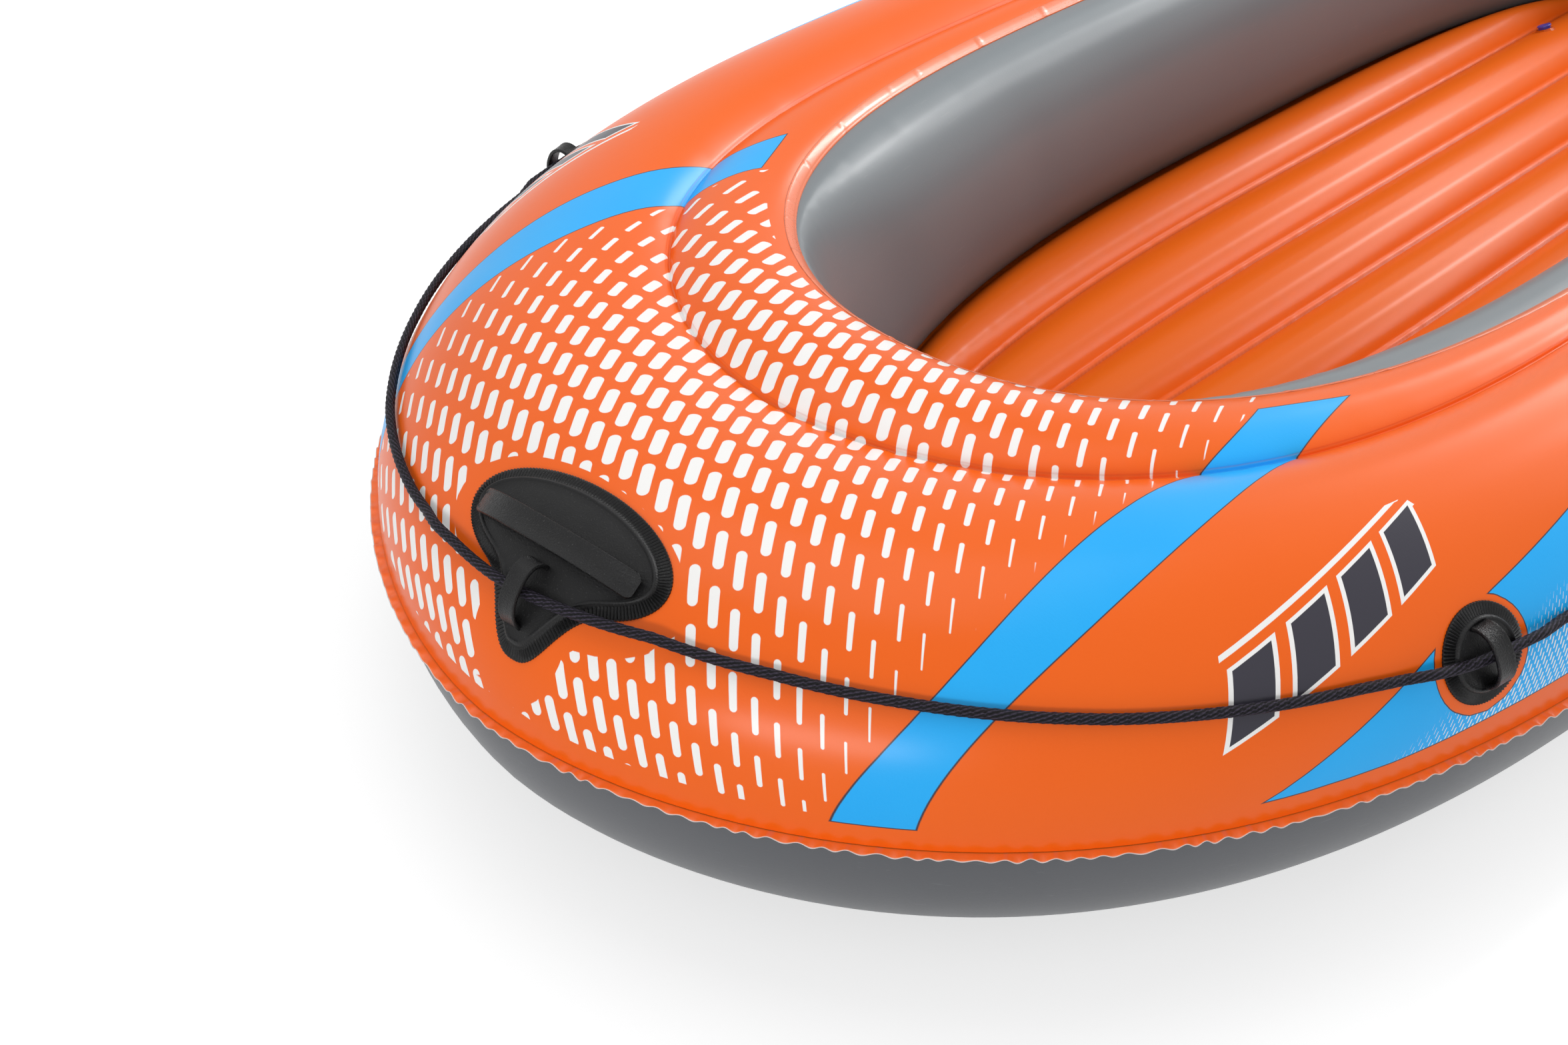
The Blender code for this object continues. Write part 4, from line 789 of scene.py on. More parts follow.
def printed_dashes(wires):
    """White rounded dashes in slanting columns, one where the ink is."""
    column, row, width = wires.marked("dashes")
    clear, _, _ = wires.marked("field")
    beside = column - round(column)
    place = beside.scaled(COLUMN_SHIFT, row)
    away = from_line((place - round(place)) * DASH_PITCH, beside * COLUMN_PITCH, DASH_LINE / 2)
    ink = width.scaled(0.5, away * -1.0).inside(0.45)
    return ink * clear.inside(PRINT_EDGE) * (width - 0.5).inside(0.4)


def edged(wires, distance, colour, fill):
    """Lays a printed area with a thin dark line round it over a colour."""
    lined = wires.mix(distance.inside(PRINT_EDGE), colour, INK_LINE)
    return wires.mix((distance - OUTLINE_WIDTH).inside(PRINT_EDGE), lined, fill)


def side_ticks(along, lower):
    """Small slanting white ticks that thin out upward, in a field that grows taller towards the stern."""
    tall = (along - TICKS_FROM) * TICKS_RISE
    above = tall.at_most(TICKS_TALLEST) - lower
    column = lower.scaled(-TICK_LEAN, along) / (TICK_PITCH / 2)
    nearest = round(column)
    row = nearest.scaled(0.5, lower / TICK_ROW)
    away = from_line((row - round(row)) * TICK_ROW, (column - nearest) * (TICK_PITCH / 2), TICK_LINE / 2)
    growth = above.wires.math("DIVIDE", above, TICK_GROWTH, clamp=True) ** TICK_TAPER
    return (growth.scaled((TICK_THICK + PRINT_EDGE) / 2, -PRINT_EDGE / 2) - away).inside(PRINT_EDGE)


def decal_bars(wires, colour):
    """A plain row of slanted dark bars with a white border, and a thin white line above them."""
    a, b, _ = wires.marked("decal")
    beside = abs(wires.math("FRACT", a * BARS) - 0.5)
    in_bar = (BAR_HALF_share - beside) * (DECAL_LENGTH / BARS)
    in_height = (0.5 - abs(b - 0.5)) * DECAL_HEIGHT
    bar = in_bar.at_most(in_height, (0.5 - abs(a - 0.5)) * DECAL_LENGTH)
    colour = wires.mix(bar.inside(PRINT_EDGE), colour, WHITE_INK)
    colour = wires.mix((bar - DECAL_BORDER).inside(PRINT_EDGE), colour, INK)
    line_height = LINE_HALF_WIDTH - abs((b - LINE_UP_share) * DECAL_HEIGHT)
    line = line_height.at_most((LINE_HALF_share - abs(a - LINE_HALF_share)) * DECAL_LENGTH)
    return wires.mix(line.inside(PRINT_EDGE), colour, WHITE_INK)


def make_hull_look():
    look, wires, shader = new_look("printed_vinyl")
    grain = wires.group(VINYL_GRAIN, Roughness=0.40, Lines=LINES_ALONG)
    colour = decal_bars(wires, wires.mix(grain["Cloud"], ORANGE, ORANGE_PALE))
    blue = wires.mix(grain["Cloud"], BLUE, BLUE_DEEP)

    flash_upper, flash_lower, reach = wires.marked("flash")
    _, from_grommet, outward = wires.marked("field")
    flash = flash_upper.at_most(flash_lower, reach, from_grommet - GROMMET_CLEAR)
    ticked = wires.mix(side_ticks(reach, flash_lower), blue, WHITE_INK)
    colour = edged(wires, flash, colour, ticked)
    band_inner, band_outer, band_end = wires.marked("band")
    colour = edged(wires, band_inner.at_most(band_outer, band_end), colour, blue)
    colour = wires.mix(printed_dashes(wires), colour, WHITE_INK)

    weld_line = (WELD_LINE_HALF - abs(abs(outward) - WELD_LINE_OUT)).inside(WELD_LINE_EDGE)
    finish(wires, shader, wires.mix(weld_line * 0.18, colour, ORANGE_PRESSED), grain, SHEET_BUMP,
           coat=(0.40, 0.25), height=weld_line.scaled(-1.5, grain["Height"]), Specular_IOR_Level=0.08)
    return look


top_mesh = grid_mesh("hull_top_sheet", top_grid, close_rows=True)
pushed_out(top_mesh, sheet_relief())
mark_print(top_mesh)
add_piece(top_mesh, make_hull_look(), "hull_top_skin")


# Hull underside
# Plain grey vinyl from the outer seam round the lower side of the tube, flat where the boat stands,
# and up to the weld of the floor. It has no print, only a satin face and faint marks from packing.

BOTTOM_START = 0.1382
FLOOR_LEVEL = 0.034
FLOOR_LAP = 0.0027
UNDER_END = FLOOR_LEVEL - 0.0018
UNDER_RISE_LENGTH, UNDER_RISE_POWER = 0.033, 1.2
FLAT_LEAST = 0.0003
UNDER_STEPS, FLAT_STEPS, RISE_STEPS = 22, 5, 8
UNDER_PUCKER = (0.0007, 0.016, 140, 21)
UNDER_GREY, UNDER_GREY_DEEP, SCUFFED = shade(99, 101, 105), shade(91, 93, 97), shade(160, 162, 164)


def underside_section(rings):
    turn = np.linspace(0, math.pi / 2, UNDER_STEPS + 1)[None, :]
    flat, share = [np.linspace(0, 1, count + 1)[None, 1:] for count in (FLAT_STEPS, RISE_STEPS)]
    end_at = rings.floor_at[:, None] + FLOOR_LAP
    wide = 0 * end_at
    flat_end = np.maximum(end_at - UNDER_RISE_LENGTH, TUBE_SHOULDER + FLAT_LEAST)
    inward = np.hstack([TUBE_SHOULDER * (1 - np.cos(turn)) + wide,
                        TUBE_SHOULDER + (flat_end - TUBE_SHOULDER) * flat,
                        flat_end + (end_at - flat_end) * share])
    rise = UNDER_END * share ** UNDER_RISE_POWER
    return inward, np.hstack([BOTTOM_START * (1 - np.sin(turn)) + wide, 0 * flat + wide, rise + wide])


def make_plain_look(name, pale, dark, lines, sheen, painted_foot_shade=None):
    """Unprinted vinyl: its colour drifts a little between two shades, and may darken to a third lower down as
    painted shade.
    """
    look, wires, shader = new_look(name)
    grain = wires.group(VINYL_GRAIN, Roughness=0.42, Lines=lines)
    drift = wires.noise(wires.stretched(), 3.5)
    scuff = wires.noise(wires.stretched((3.0, 0.6, 14.0)), 26.0, 5.0, 0.65)
    colour = wires.mix(drift.scaled(1.6, -0.3, clamp=True), dark, pale)
    if painted_foot_shade:
        # Painted shade: darker and bluer towards the foot of the wall.
        colour = wires.mix(wires.marked("fall")[0].scaled(2.0, -0.65, clamp=True), colour, painted_foot_shade)
    colour = wires.mix((scuff - 0.67).inside(0.05) * 0.10, colour, SCUFFED)
    finish(wires, shader, colour, grain, SHEET_BUMP, coat=(sheen, 0.28), Specular_IOR_Level=0.15)
    return look


UNDER_LOOK = make_plain_look("grey_vinyl_under", UNDER_GREY, UNDER_GREY_DEEP, LINES_ALONG, 0.15)
under_inward, under_height = underside_section(hull_rings)
under_mesh = grid_mesh("hull_underside_sheet", at_ring(hull_rings, under_inward, under_height),
                       close_rows=True, flip=True)
under_travel = across_sheet(under_inward, under_height)
under_run = np.repeat(hull_run[:, None], under_inward.shape[1], 1)
pushed_out(under_mesh, pucker(under_run, under_travel, *UNDER_PUCKER) * held(under_travel))
add_piece(under_mesh, UNDER_LOOK, "hull_bottom_skin")


# Outer seam
# The welded margins of the orange and the grey sheet, trimmed a few millimetres out from the weld.
# Blown up, the margin is too long for the hull and stands in small waves, with a pale cut edge.

MARGIN_REACH = 0.0062
MARGIN_REACH_CHANGE = 0.0004
MARGIN_LEVEL = 0.139
MARGIN_HALF_THICKNESS = 0.00032
MARGIN_WAVE, MARGIN_WAVE_GROWTH = 0.00208, 1.3
MARGIN_RINGS = 4800
MARGIN_WAVES = 400
MARGIN_UNEVEN, MARGIN_DRIFT = 0.38, 2.2
# Waves round the hull and seed of the folds that vary the waves' spacing, their height and the trim
SPACING_FOLDS, HEIGHT_FOLDS, TRIM_FOLDS = (60, 31), (45, 32), (210, 34)
MARGIN_STEPS = np.array([-0.0016, 0.0, 0.0012, 0.0028, 0.0044, 0.0056, 0.0062])
# MARGIN_DIP_SHADE is painted shade in the dips of the waves; the crests turn a paler pink.
MARGIN_ORANGE, MARGIN_DIP_SHADE, MARGIN_CREST_PINK = shade(250, 124, 48), shade(240, 106, 38), shade(226, 150, 130)
MARGIN_UNDER, MARGIN_UNDER_PALE, CUT_EDGE = shade(120, 116, 120), shade(150, 134, 136), shade(226, 222, 220)


def make_margin_mesh():
    rings, travel = even_rings(MARGIN_RINGS)
    length = travel[-1] + travel[1]
    turn = travel * 2 * math.pi / length * MARGIN_WAVES + MARGIN_DRIFT * folds(travel, length, *SPACING_FOLDS)
    uneven = 1 - MARGIN_UNEVEN + MARGIN_UNEVEN * folds(travel, length, *HEIGHT_FOLDS)
    wave = (np.sin(turn) * uneven)[:, None]
    reach_change = folds(travel, length, *TRIM_FOLDS)[:, None] * MARGIN_REACH_CHANGE
    upper = MARGIN_STEPS / MARGIN_REACH
    lower = upper[::-1][1:]
    share = np.concatenate([upper, lower])[None, :]
    side = np.concatenate([np.ones(len(upper)), -np.ones(len(lower))])[None, :]
    out = np.clip(share, 0, 1)
    outward = share * (MARGIN_REACH + reach_change * out)
    thick = np.where(share == share.max(), 0.0, MARGIN_HALF_THICKNESS) * side
    height = MARGIN_LEVEL + wave * MARGIN_WAVE * out ** MARGIN_WAVE_GROWTH + thick
    mesh = grid_mesh("outer_seam_margin", at_ring(rings, -outward, height), close_rows=True,
                     close_columns=True, flip=True)
    mark(mesh, "margin", share, side, wave)
    return mesh


def make_margin_look():
    look, wires, shader = new_look("weld_margin")
    share, side, wave = wires.marked("margin")
    grain = wires.group(VINYL_GRAIN, Roughness=0.38, Lines=(300.0, 300.0, 300.0))
    # Painted shade in the dips of the waves, and a paler pink on their crests.
    top = wires.mix(wave.scaled(-0.6, 0.25, clamp=True), MARGIN_ORANGE, MARGIN_DIP_SHADE)
    crest_pinked = wires.mix(wave.scaled(1.2, -0.60, clamp=True), top, MARGIN_CREST_PINK)
    under = wires.mix(grain["Cloud"], MARGIN_UNDER, MARGIN_UNDER_PALE)
    colour = wires.mix(side.inside(0.2), under, crest_pinked)
    finish(wires, shader, wires.mix((share - 0.93).inside(0.08), colour, CUT_EDGE), grain, (0.3, 0.0002))
    return look


add_piece(make_margin_mesh(), make_margin_look(), "outer_seam_flange")


# Cockpit wall
# A grey vinyl sheet, welded to the orange one at the cockpit's edge and to the floor. The air of
# the inner tube pushes it in over the floor, and its spare length at the bow makes soft folds.

WALL_TOP = RIM_HEIGHT - 0.0009
WALL_FOOT = 0.0352
WALL_SIDE_BULGE, WALL_END_BULGE = 0.058, 0.010
WALL_FADE_POWER = 8
WALL_FULLNESS = 2.35
WALL_STEPS = 34
WALL_TOP_PUCKER = (0.0009, 0.018, 120, 41)
WALL_FOOT_PUCKER = (0.00144, 0.024, 90, 43)
WALL_CALM = (0.55, 0.4, 0.10)
BOW_FOLD_DEPTH = 0.0035
# Bearing of each soft fold at the bow, its width in the same radians, and its share of the depth
BOW_FOLDS = ((-0.30, 0.055, 1.0), (0.24, 0.05, 0.8), (-0.62, 0.07, 0.5), (0.58, 0.07, 0.5))
# The foot colour is painted shade, darker and bluer than the sheet.
WALL_GREY, WALL_GREY_DEEP, WALL_GREY_FOOT_SHADE = shade(130, 137, 141), shade(122, 129, 133), shade(90, 114, 122)


def make_wall_mesh():
    turn = np.linspace(0, math.pi, WALL_STEPS + 1)[None, :]
    out = np.clip(np.sin(turn), 0, 1) ** (2 / WALL_FULLNESS)
    share = (1 - np.sign(np.cos(turn)) * np.abs(np.cos(turn)) ** (2 / WALL_FULLNESS)) / 2
    sideways = np.abs(hull_rings.inward_x)[:, None] ** WALL_FADE_POWER
    bulge = WALL_END_BULGE + (WALL_SIDE_BULGE - WALL_END_BULGE) * sideways
    start_at, end_at = hull_rings.rim_at[:, None], hull_rings.floor_at[:, None] + FLOOR_LAP
    inward = start_at + (end_at - start_at) * share + bulge * out
    height = WALL_TOP + (WALL_FOOT - WALL_TOP) * share + 0 * inward
    grid = at_ring(hull_rings, inward, height)
    mesh = grid_mesh("cockpit_wall_sheet", grid, close_rows=True)
    along = np.repeat(hull_run[:, None], WALL_STEPS + 1, 1)
    from_top, from_foot = WALL_TOP - height, height - WALL_FOOT
    relief = pucker(along, from_top, *WALL_TOP_PUCKER) + pucker(along, from_foot, *WALL_FOOT_PUCKER)
    relief *= calmer_at_sides(grid, *WALL_CALM)
    bearing = np.arctan2(grid[..., 0], -grid[..., 1])
    stretch = np.sin(math.pi * np.clip(share * 1.25, 0, 1)) ** 1.5
    for place, width, depth in BOW_FOLDS:
        relief -= BOW_FOLD_DEPTH * depth * np.exp(-((bearing - place) / width) ** 2) * stretch
    pushed_out(mesh, relief * held(from_top, from_foot))
    # How far down the wall each point lies, for the painted shade at its foot.
    mark(mesh, "fall", share + 0 * inward)
    return mesh


WALL_LOOK = make_plain_look("grey_vinyl_wall", WALL_GREY, WALL_GREY_DEEP, (900.0, 900.0, 24.0), 0.32,
                            painted_foot_shade=WALL_GREY_FOOT_SHADE)
add_piece(make_wall_mesh(), WALL_LOOK, "cockpit_wall_skin")


# Inner web
# A plain strip of the grey sheet, welded under the crease and down to the underside. It parts the
# main tube's air from the inner tube's, and nobody sees it once the boat is closed.

WEB_TOP, WEB_FOOT = CREASE_HEIGHT - 0.0018, 0.0009
WEB_STEPS = 6

web_inward = np.repeat(hull_rings.crease_at[:, None], WEB_STEPS + 1, 1)
web_height = WEB_TOP + (WEB_FOOT - WEB_TOP) * np.linspace(0, 1, WEB_STEPS + 1) + 0 * web_inward
web_mesh = grid_mesh("inner_web_sheet", at_ring(hull_rings, web_inward, web_height), close_rows=True)
add_piece(web_mesh, UNDER_LOOK, "tube_baffle")


# Cockpit edge band
# A ribbon of orange vinyl about 8 mm wide, welded in short strokes over the joint of the top sheet
# and the cockpit wall. Each stroke ends in a small cross mark, and the band shines more than the sheet.

BAND_WIDTH = 0.008
BAND_LIFT = 0.0009
BAND_RINGS = 1500
STROKE = 0.046
STROKE_MARK, STROKE_MARK_RISE, STROKE_PRESSED = 0.0009, 0.0004, 0.00015
# Place across the band from the wall as a share of its width, and its lift there as a share
BAND_PROFILE = np.array([(1.04, 0.05), (1.0, 0.55), (0.92, 0.95), (0.7, 1.0), (0.45, 1.0), (0.22, 1.0),
                         (0.08, 1.0), (0.0, 1.0)])
# The edge turned down over the wall: distance in past the rim, and height over it
BAND_TURN = np.array([(0.0007, 0.0005), (0.0010, -0.0004), (0.0010, -0.0022)])
# BAND_SHADE_AND_MARKS paints shade along the ribbon's raised edge and where it turns down over the wall, and
# darkens the weld marks.
BAND_ORANGE, BAND_ORANGE_PALE, BAND_SHADE_AND_MARKS = shade(240, 106, 42), shade(244, 122, 62), shade(120, 48, 22)


def make_edge_band():
    rings, travel = even_rings(BAND_RINGS)
    length = travel[-1] + travel[1]
    rim_at = rings.rim_at[:, None]
    width = np.minimum(BAND_WIDTH, (rim_at - rings.crease_at[:, None]) / 2)
    flat = rim_at - width * BAND_PROFILE[None, :, 0]
    inward = np.hstack([flat, rim_at + BAND_TURN[None, :, 0]])
    height = np.hstack([deck_height(rings, flat) + BAND_PROFILE[None, :, 1] * BAND_LIFT,
                        RIM_HEIGHT + BAND_TURN[None, :, 1] + 0 * rim_at])
    phase = (travel * round(length / STROKE) / length)[:, None]
    mark_at = np.exp(-(((phase + 0.5) % 1 - 0.5) * STROKE / STROKE_MARK) ** 2)
    columns = np.arange(inward.shape[1])[None, :]
    inner = np.clip(columns / 2, 0, 1)
    height = height + STROKE_MARK_RISE * mark_at * inner - STROKE_PRESSED * inner * (1 - mark_at)
    mesh = grid_mesh("cockpit_edge_ribbon", at_ring(rings, inward, height), close_rows=True)
    mark(mesh, "ribbon", columns / columns.max(), mark_at)
    return mesh


def make_band_look():
    look, wires, shader = new_look("edge_ribbon")
    grain = wires.group(VINYL_GRAIN, Roughness=0.30, Lines=(500.0, 500.0, 500.0))
    across, mark_at, _ = wires.marked("ribbon")
    # Painted shade along the ribbon's raised outer edge and on its edge turned down over the wall, and darker
    # weld marks.
    lip = (0.12 - across).inside(0.05) * 0.42
    wall_turn_shade = (across - 0.90).inside(0.08) * 0.55
    shadow = lip.at_least(wall_turn_shade, mark_at * 0.12)
    colour = wires.mix(shadow, wires.mix(grain["Cloud"], BAND_ORANGE, BAND_ORANGE_PALE), BAND_SHADE_AND_MARKS)
    finish(wires, shader, colour, grain, (0.25, 0.0002), coat=(0.35, 0.18))
    return look


add_piece(make_edge_band(), make_band_look(), "cockpit_edge_band")


# Air floor
# Two sheets welded together in long lines, so that the air between them stands in round ribs. The
# ribs die away in puckers at the floor's outline, where it is welded to the cockpit wall.

FLOOR_MARGIN = 0.027
FLOOR_RIBS = 6
RIB_RISE = 0.024
RIB_DROP = 0.016
RIB_END_LENGTH = 0.034
RIB_ROUNDNESS = 0.80
SHEET_GAP = 0.0008
STRAIGHT_RIBS_share = 0.78
FLOOR_END_CUT_share = 0.996
MARGIN_share = FLOOR_MARGIN / FLOOR_EDGE.half_width
INNER_RIBS_share = (1 - MARGIN_share) * (FLOOR_RIBS - 2) / FLOOR_RIBS
FLOOR_ROWS, RIB_STEPS = 300, 16
BACKING_ROWS, BACKING_STEPS = 120, 8
FLOOR_PUCKER, FLOOR_PUCKER_REACH, FLOOR_FOLDS, FIRST_FOLD_SEED = 0.0009, 0.012, 160, 50
FLOOR_HELD_EDGE = 0.004
# The floor's puckers: their share at the outline, the way in over which they calm, and the least share
OUTLINE_PUCKER_share, FLOOR_CALM_LENGTH, FLOOR_CALM_share = 1.4, 0.10, 0.35
WELD_HALF_WIDTH, WELD_TOOTH = 0.0022, 0.0052
OUTLINE_WELD_INSET, OUTLINE_WELD_HALF_WIDTH = 0.002, 0.0075
FLOOR_ORANGE, FLOOR_ORANGE_PALE, FLOOR_WELD = shade(238, 100, 14), shade(240, 106, 20), shade(168, 60, 18)


def floor_grid(level, swing, rows, steps, roundness):
    """A ribbed sheet, with each point's distance from the outline and from the nearest weld line."""
    travel = -np.cos(math.pi * np.linspace(0, 1, rows + 1))[:, None]
    length, power = end_of(FLOOR_EDGE, travel)
    y = travel * FLOOR_END_CUT_share * length
    narrow = np.clip(1 - (np.abs(y) / length) ** power, 0, 1) ** (1 / FLOOR_EDGE.side_power)
    half = FLOOR_EDGE.half_width * narrow
    count = FLOOR_RIBS * steps
    ribbed = (2 * np.arange(count + 1) / count - 1) * (1 - MARGIN_share)
    across = np.concatenate([[-1.0], ribbed, [1.0]])[None, :]
    within = np.concatenate([[0.0], (np.arange(count + 1) % steps) / steps, [0.0]])[None, :]
    spread = np.where(y < 0, half, np.minimum(FLOOR_EDGE.half_width, half / STRAIGHT_RIBS_share))
    share = np.clip((np.abs(across) - INNER_RIBS_share) / (1 - INNER_RIBS_share), 0, 1)
    start = INNER_RIBS_share * spread
    outer = np.sign(across) * (start + (half - start) * share)
    x = np.where(np.abs(across) <= INNER_RIBS_share, across * spread, outer)
    y = y + 0 * x
    ox, oy = curve_outward(FLOOR_EDGE, x + 1e-9, y + 1e-9)
    inset = crossing(FLOOR_EDGE, x, y, ox, oy)
    fade = np.sqrt(1 - (1 - np.clip((inset - FLOOR_MARGIN) / RIB_END_LENGTH, 0, 1)) ** 2)
    arch = (4 * within * (1 - within)) ** roundness
    from_weld = np.minimum(within, 1 - within) * (2 * half / FLOOR_RIBS)
    return np.stack([x, y, level + swing * arch * fade], -1), inset, from_weld


def make_floor_mesh():
    level, length = FLOOR_LEVEL + SHEET_GAP, 2 * (FLOOR_EDGE.bow + FLOOR_EDGE.stern)
    grid, inset, from_weld = floor_grid(level, RIB_RISE, FLOOR_ROWS, RIB_STEPS, RIB_ROUNDNESS)
    line = np.round(np.arange(grid.shape[1]) / RIB_STEPS).astype(int)
    wave = np.zeros(grid.shape[:2])
    for number in np.unique(line):
        pick = line == number
        wave[:, pick] = folds(grid[:, pick, 1] + 1.0, length, FLOOR_FOLDS, FIRST_FOLD_SEED + number)
    calm = np.clip(OUTLINE_PUCKER_share - inset / FLOOR_CALM_LENGTH, FLOOR_CALM_share, 1.0)
    calm *= np.clip(inset / FLOOR_HELD_EDGE, 0, 1)
    grid[..., 2] += wave * FLOOR_PUCKER * np.exp(-from_weld / FLOOR_PUCKER_REACH) * calm
    mesh = grid_mesh("air_floor_sheet", grid, flip=True)
    mark(mesh, "rib", from_weld, grid[..., 1], inset)
    return mesh


def make_floor_look():
    look, wires, shader = new_look("floor_vinyl")
    grain = wires.group(VINYL_GRAIN, Roughness=0.50, Lines=LINES_ALONG)
    from_weld, along, inset = wires.marked("rib")
    weld = (WELD_HALF_WIDTH - from_weld).inside(0.0014)
    tooth = wires.math("PINGPONG", along * (1 / WELD_TOOTH), 0.5)
    pressed = weld * (tooth - 0.25).inside(0.2)
    outline = (OUTLINE_WELD_HALF_WIDTH - abs(inset - OUTLINE_WELD_INSET)).inside(0.002)
    depth = (weld * 0.50).at_least(outline * 0.12)
    colour = wires.mix(depth, wires.mix(grain["Cloud"], FLOOR_ORANGE, FLOOR_ORANGE_PALE), FLOOR_WELD)
    finish(wires, shader, colour, grain, SHEET_BUMP, coat=(0.15, 0.20),
           height=pressed.scaled(-2.0, grain["Height"]), Specular_IOR_Level=0.05)
    return look


FLOOR_LOOK = make_floor_look()
add_piece(make_floor_mesh(), FLOOR_LOOK, "floor_top_skin")
backing, _, _ = floor_grid(FLOOR_LEVEL - SHEET_GAP, -RIB_DROP, BACKING_ROWS, BACKING_STEPS, 1.0)
add_piece(grid_mesh("air_floor_backing", backing), UNDER_LOOK, "floor_bottom_skin")


# Rubber handle plates and rope grommets
# Black moulded rubber, welded to the tube. Each plate has a finely ribbed rim inside a thin bead
# and a satin field, and a loop for the rope stands on it; the bow and stern plates carry a grip bar.

Seat = namedtuple("Seat", "origin along up normal")
SEAT_REACH = 0.050
HANDLE_PLATE_DEPTH = 0.074
HANDLE_LOBE_DROP, HANDLE_LOBE_HALF, HANDLE_LOBE_OFFSET, HANDLE_LOBE_FULLNESS = 0.073, 0.027, 0.005, 2.8
HANDLE_HEIGHT_share = 0.8302
HANDLE_OFFSET = 0.012
HANDLE_TURN = math.radians(4)
HANDLE_MIDDLE = (0.0, -0.009)
HANDLE_LOOP_DROP = 0.038
GROMMET_HEIGHT_share = 0.4867
GROMMET_PLACE_share = 0.62
RIM_WIDTH = 0.0090
RIB_PITCH, RIB_SAMPLES, RIB_RELIEF, RIB_SCALLOP = 0.0022, 4, 0.0010, 0.0003
# Way in from the edge as a share of the ribbed rim, lift, and how much of the ribs shows there
RIM_PROFILE = [(0.0, 0.0002, 0.0), (0.0, 0.0014, 0.5), (0.03, 0.0020, 1.0), (0.16, 0.0022, 1.0),
               (0.40, 0.0024, 1.0), (0.64, 0.0026, 1.0), (0.80, 0.0028, 0.7), (0.86, 0.0040, 0.15),
               (0.94, 0.0046, 0.0), (1.03, 0.0046, 0.0), (1.11, 0.0039, 0.0), (1.20, 0.0036, 0.0)]
FIELD_LIFT = 0.0036
INNER_RINGS = (0.90, 0.72, 0.48, 0.24)
# What the mesh keeps for the material: a place past the rim for the field, and one for loops and grips
FIELD_MARK, HANDLED_MARK = 1.3, 2.0
LOOP_SPAN, LOOP_RISE, LOOP_WIDTH, LOOP_THICKNESS = 0.034, 0.0121, 0.013, 0.0026
LOOP_START, LOOP_FULLNESS, LOOP_CORNER, LOOP_LIP = 0.0031, 2.6, 0.0007, 0.0002
LOOP_STEPS, STRAP_STEPS = 26, 48
STRAP_LENGTH, STRAP_WIDTH, STRAP_THICKNESS = 0.126, 0.0160, 0.0032
STRAP_CLEARANCE, STRAP_FOOT, STRAP_DROP = 0.009, 0.0046, 0.004
STRAP_CORNER, STRAP_LIP = 0.0008, 0.0005
STRAP_ROUND_END, STRAP_NARROWS_share, STRAP_NARROWS_POWER = 0.004, 0.35, 2.5
# Where a lip's top starts, ends and meets the flat, in corner radii from the bar's side
LIP_PLACES, LIP_SIDE_share = (0.7, 2.2, 3.0), 0.6
OUTLINE_POINTS, MEASURED_POINTS = 4001, 900
RUBBER_BLACK, RUBBER_DUST, RUBBER_GROOVE_SHADE = shade(17, 17, 18), shade(80, 80, 80), shade(10, 10, 10)


def hull_hit(start, toward):
    return HULL.ray_cast(Vector(start), Vector(toward))[0]


def seat_on_hull(hit, normal, along, turn=0.0):
    """A frame at a point of the hull; along lies level, then turns about the normal."""
    along = Matrix.Rotation(turn, 3, normal) @ Vector(along)
    along = (along - normal * along.dot(normal)).normalized()
    return Seat(hit, along, normal.cross(along), normal)


def handle_seat(end):
    height = TOP_START + TUBE_RISE * HANDLE_HEIGHT_share
    lean = math.asin(HANDLE_HEIGHT_share)
    normal = Vector((0.0, end * math.cos(lean), math.sin(lean)))
    hit = hull_hit((-end * HANDLE_OFFSET, end * (SEAM.bow + SEAT_REACH), height), (0, -end, 0))
    return seat_on_hull(hit, normal, (-end, 0, 0), HANDLE_TURN)


def grommet_seat(side, y):
    height = TOP_START + TUBE_RISE * GROMMET_HEIGHT_share
    lean = math.asin(GROMMET_HEIGHT_share)
    hit = hull_hit((side * (SEAM.half_width + SEAT_REACH), y, height), (-side, 0, 0))
    out_x, out_y = curve_outward(SEAM, np.array(hit.x), np.array(hit.y))
    normal = Vector((float(out_x) * math.cos(lean), float(out_y) * math.cos(lean), math.sin(lean)))
    return seat_on_hull(hit, normal, (0, side, 0))


def bent_onto(seat, flat):
    """Lays points given as (along, up, lift) on the hull around a seat."""
    bent = []
    for along, up, lift in flat.reshape(-1, 3).tolist():
        start = seat.origin + seat.along * along + seat.up * up + seat.normal * SEAT_REACH
        bent.append(tuple(hull_hit(start, -seat.normal) + seat.normal * lift))
    return np.array(bent).reshape(flat.shape)


def handle_outline(turn):
    """An oval with a rounded lobe on its lower side."""
    x, y = np.cos(turn) * PLATE_LENGTH / 2, np.sin(turn) * HANDLE_PLATE_DEPTH / 2
    lobe = np.exp(-(np.abs(x - HANDLE_LOBE_OFFSET) / HANDLE_LOBE_HALF) ** HANDLE_LOBE_FULLNESS)
    return np.stack([x, np.where(y < 0, y - (HANDLE_LOBE_DROP - HANDLE_PLATE_DEPTH / 2) * lobe, y)], -1)


def grommet_outline(turn):
    return np.stack([np.cos(turn), np.sin(turn)], -1) * GROMMET_RADIUS


def even_outline(outline, count):
    """Points evenly spaced along a closed outline, and the inward direction at each."""
    fine = outline(np.linspace(0, 2 * math.pi, OUTLINE_POINTS))
    travelled = travelled_along(fine)
    wanted = np.linspace(0, travelled[-1], count, endpoint=False)
    points = np.stack([np.interp(wanted, travelled, fine[:, i]) for i in (0, 1)], -1)
    ahead = unit(np.roll(points, -2, 0) - np.roll(points, 2, 0))
    return points, np.stack([-ahead[:, 1], ahead[:, 0]], -1)


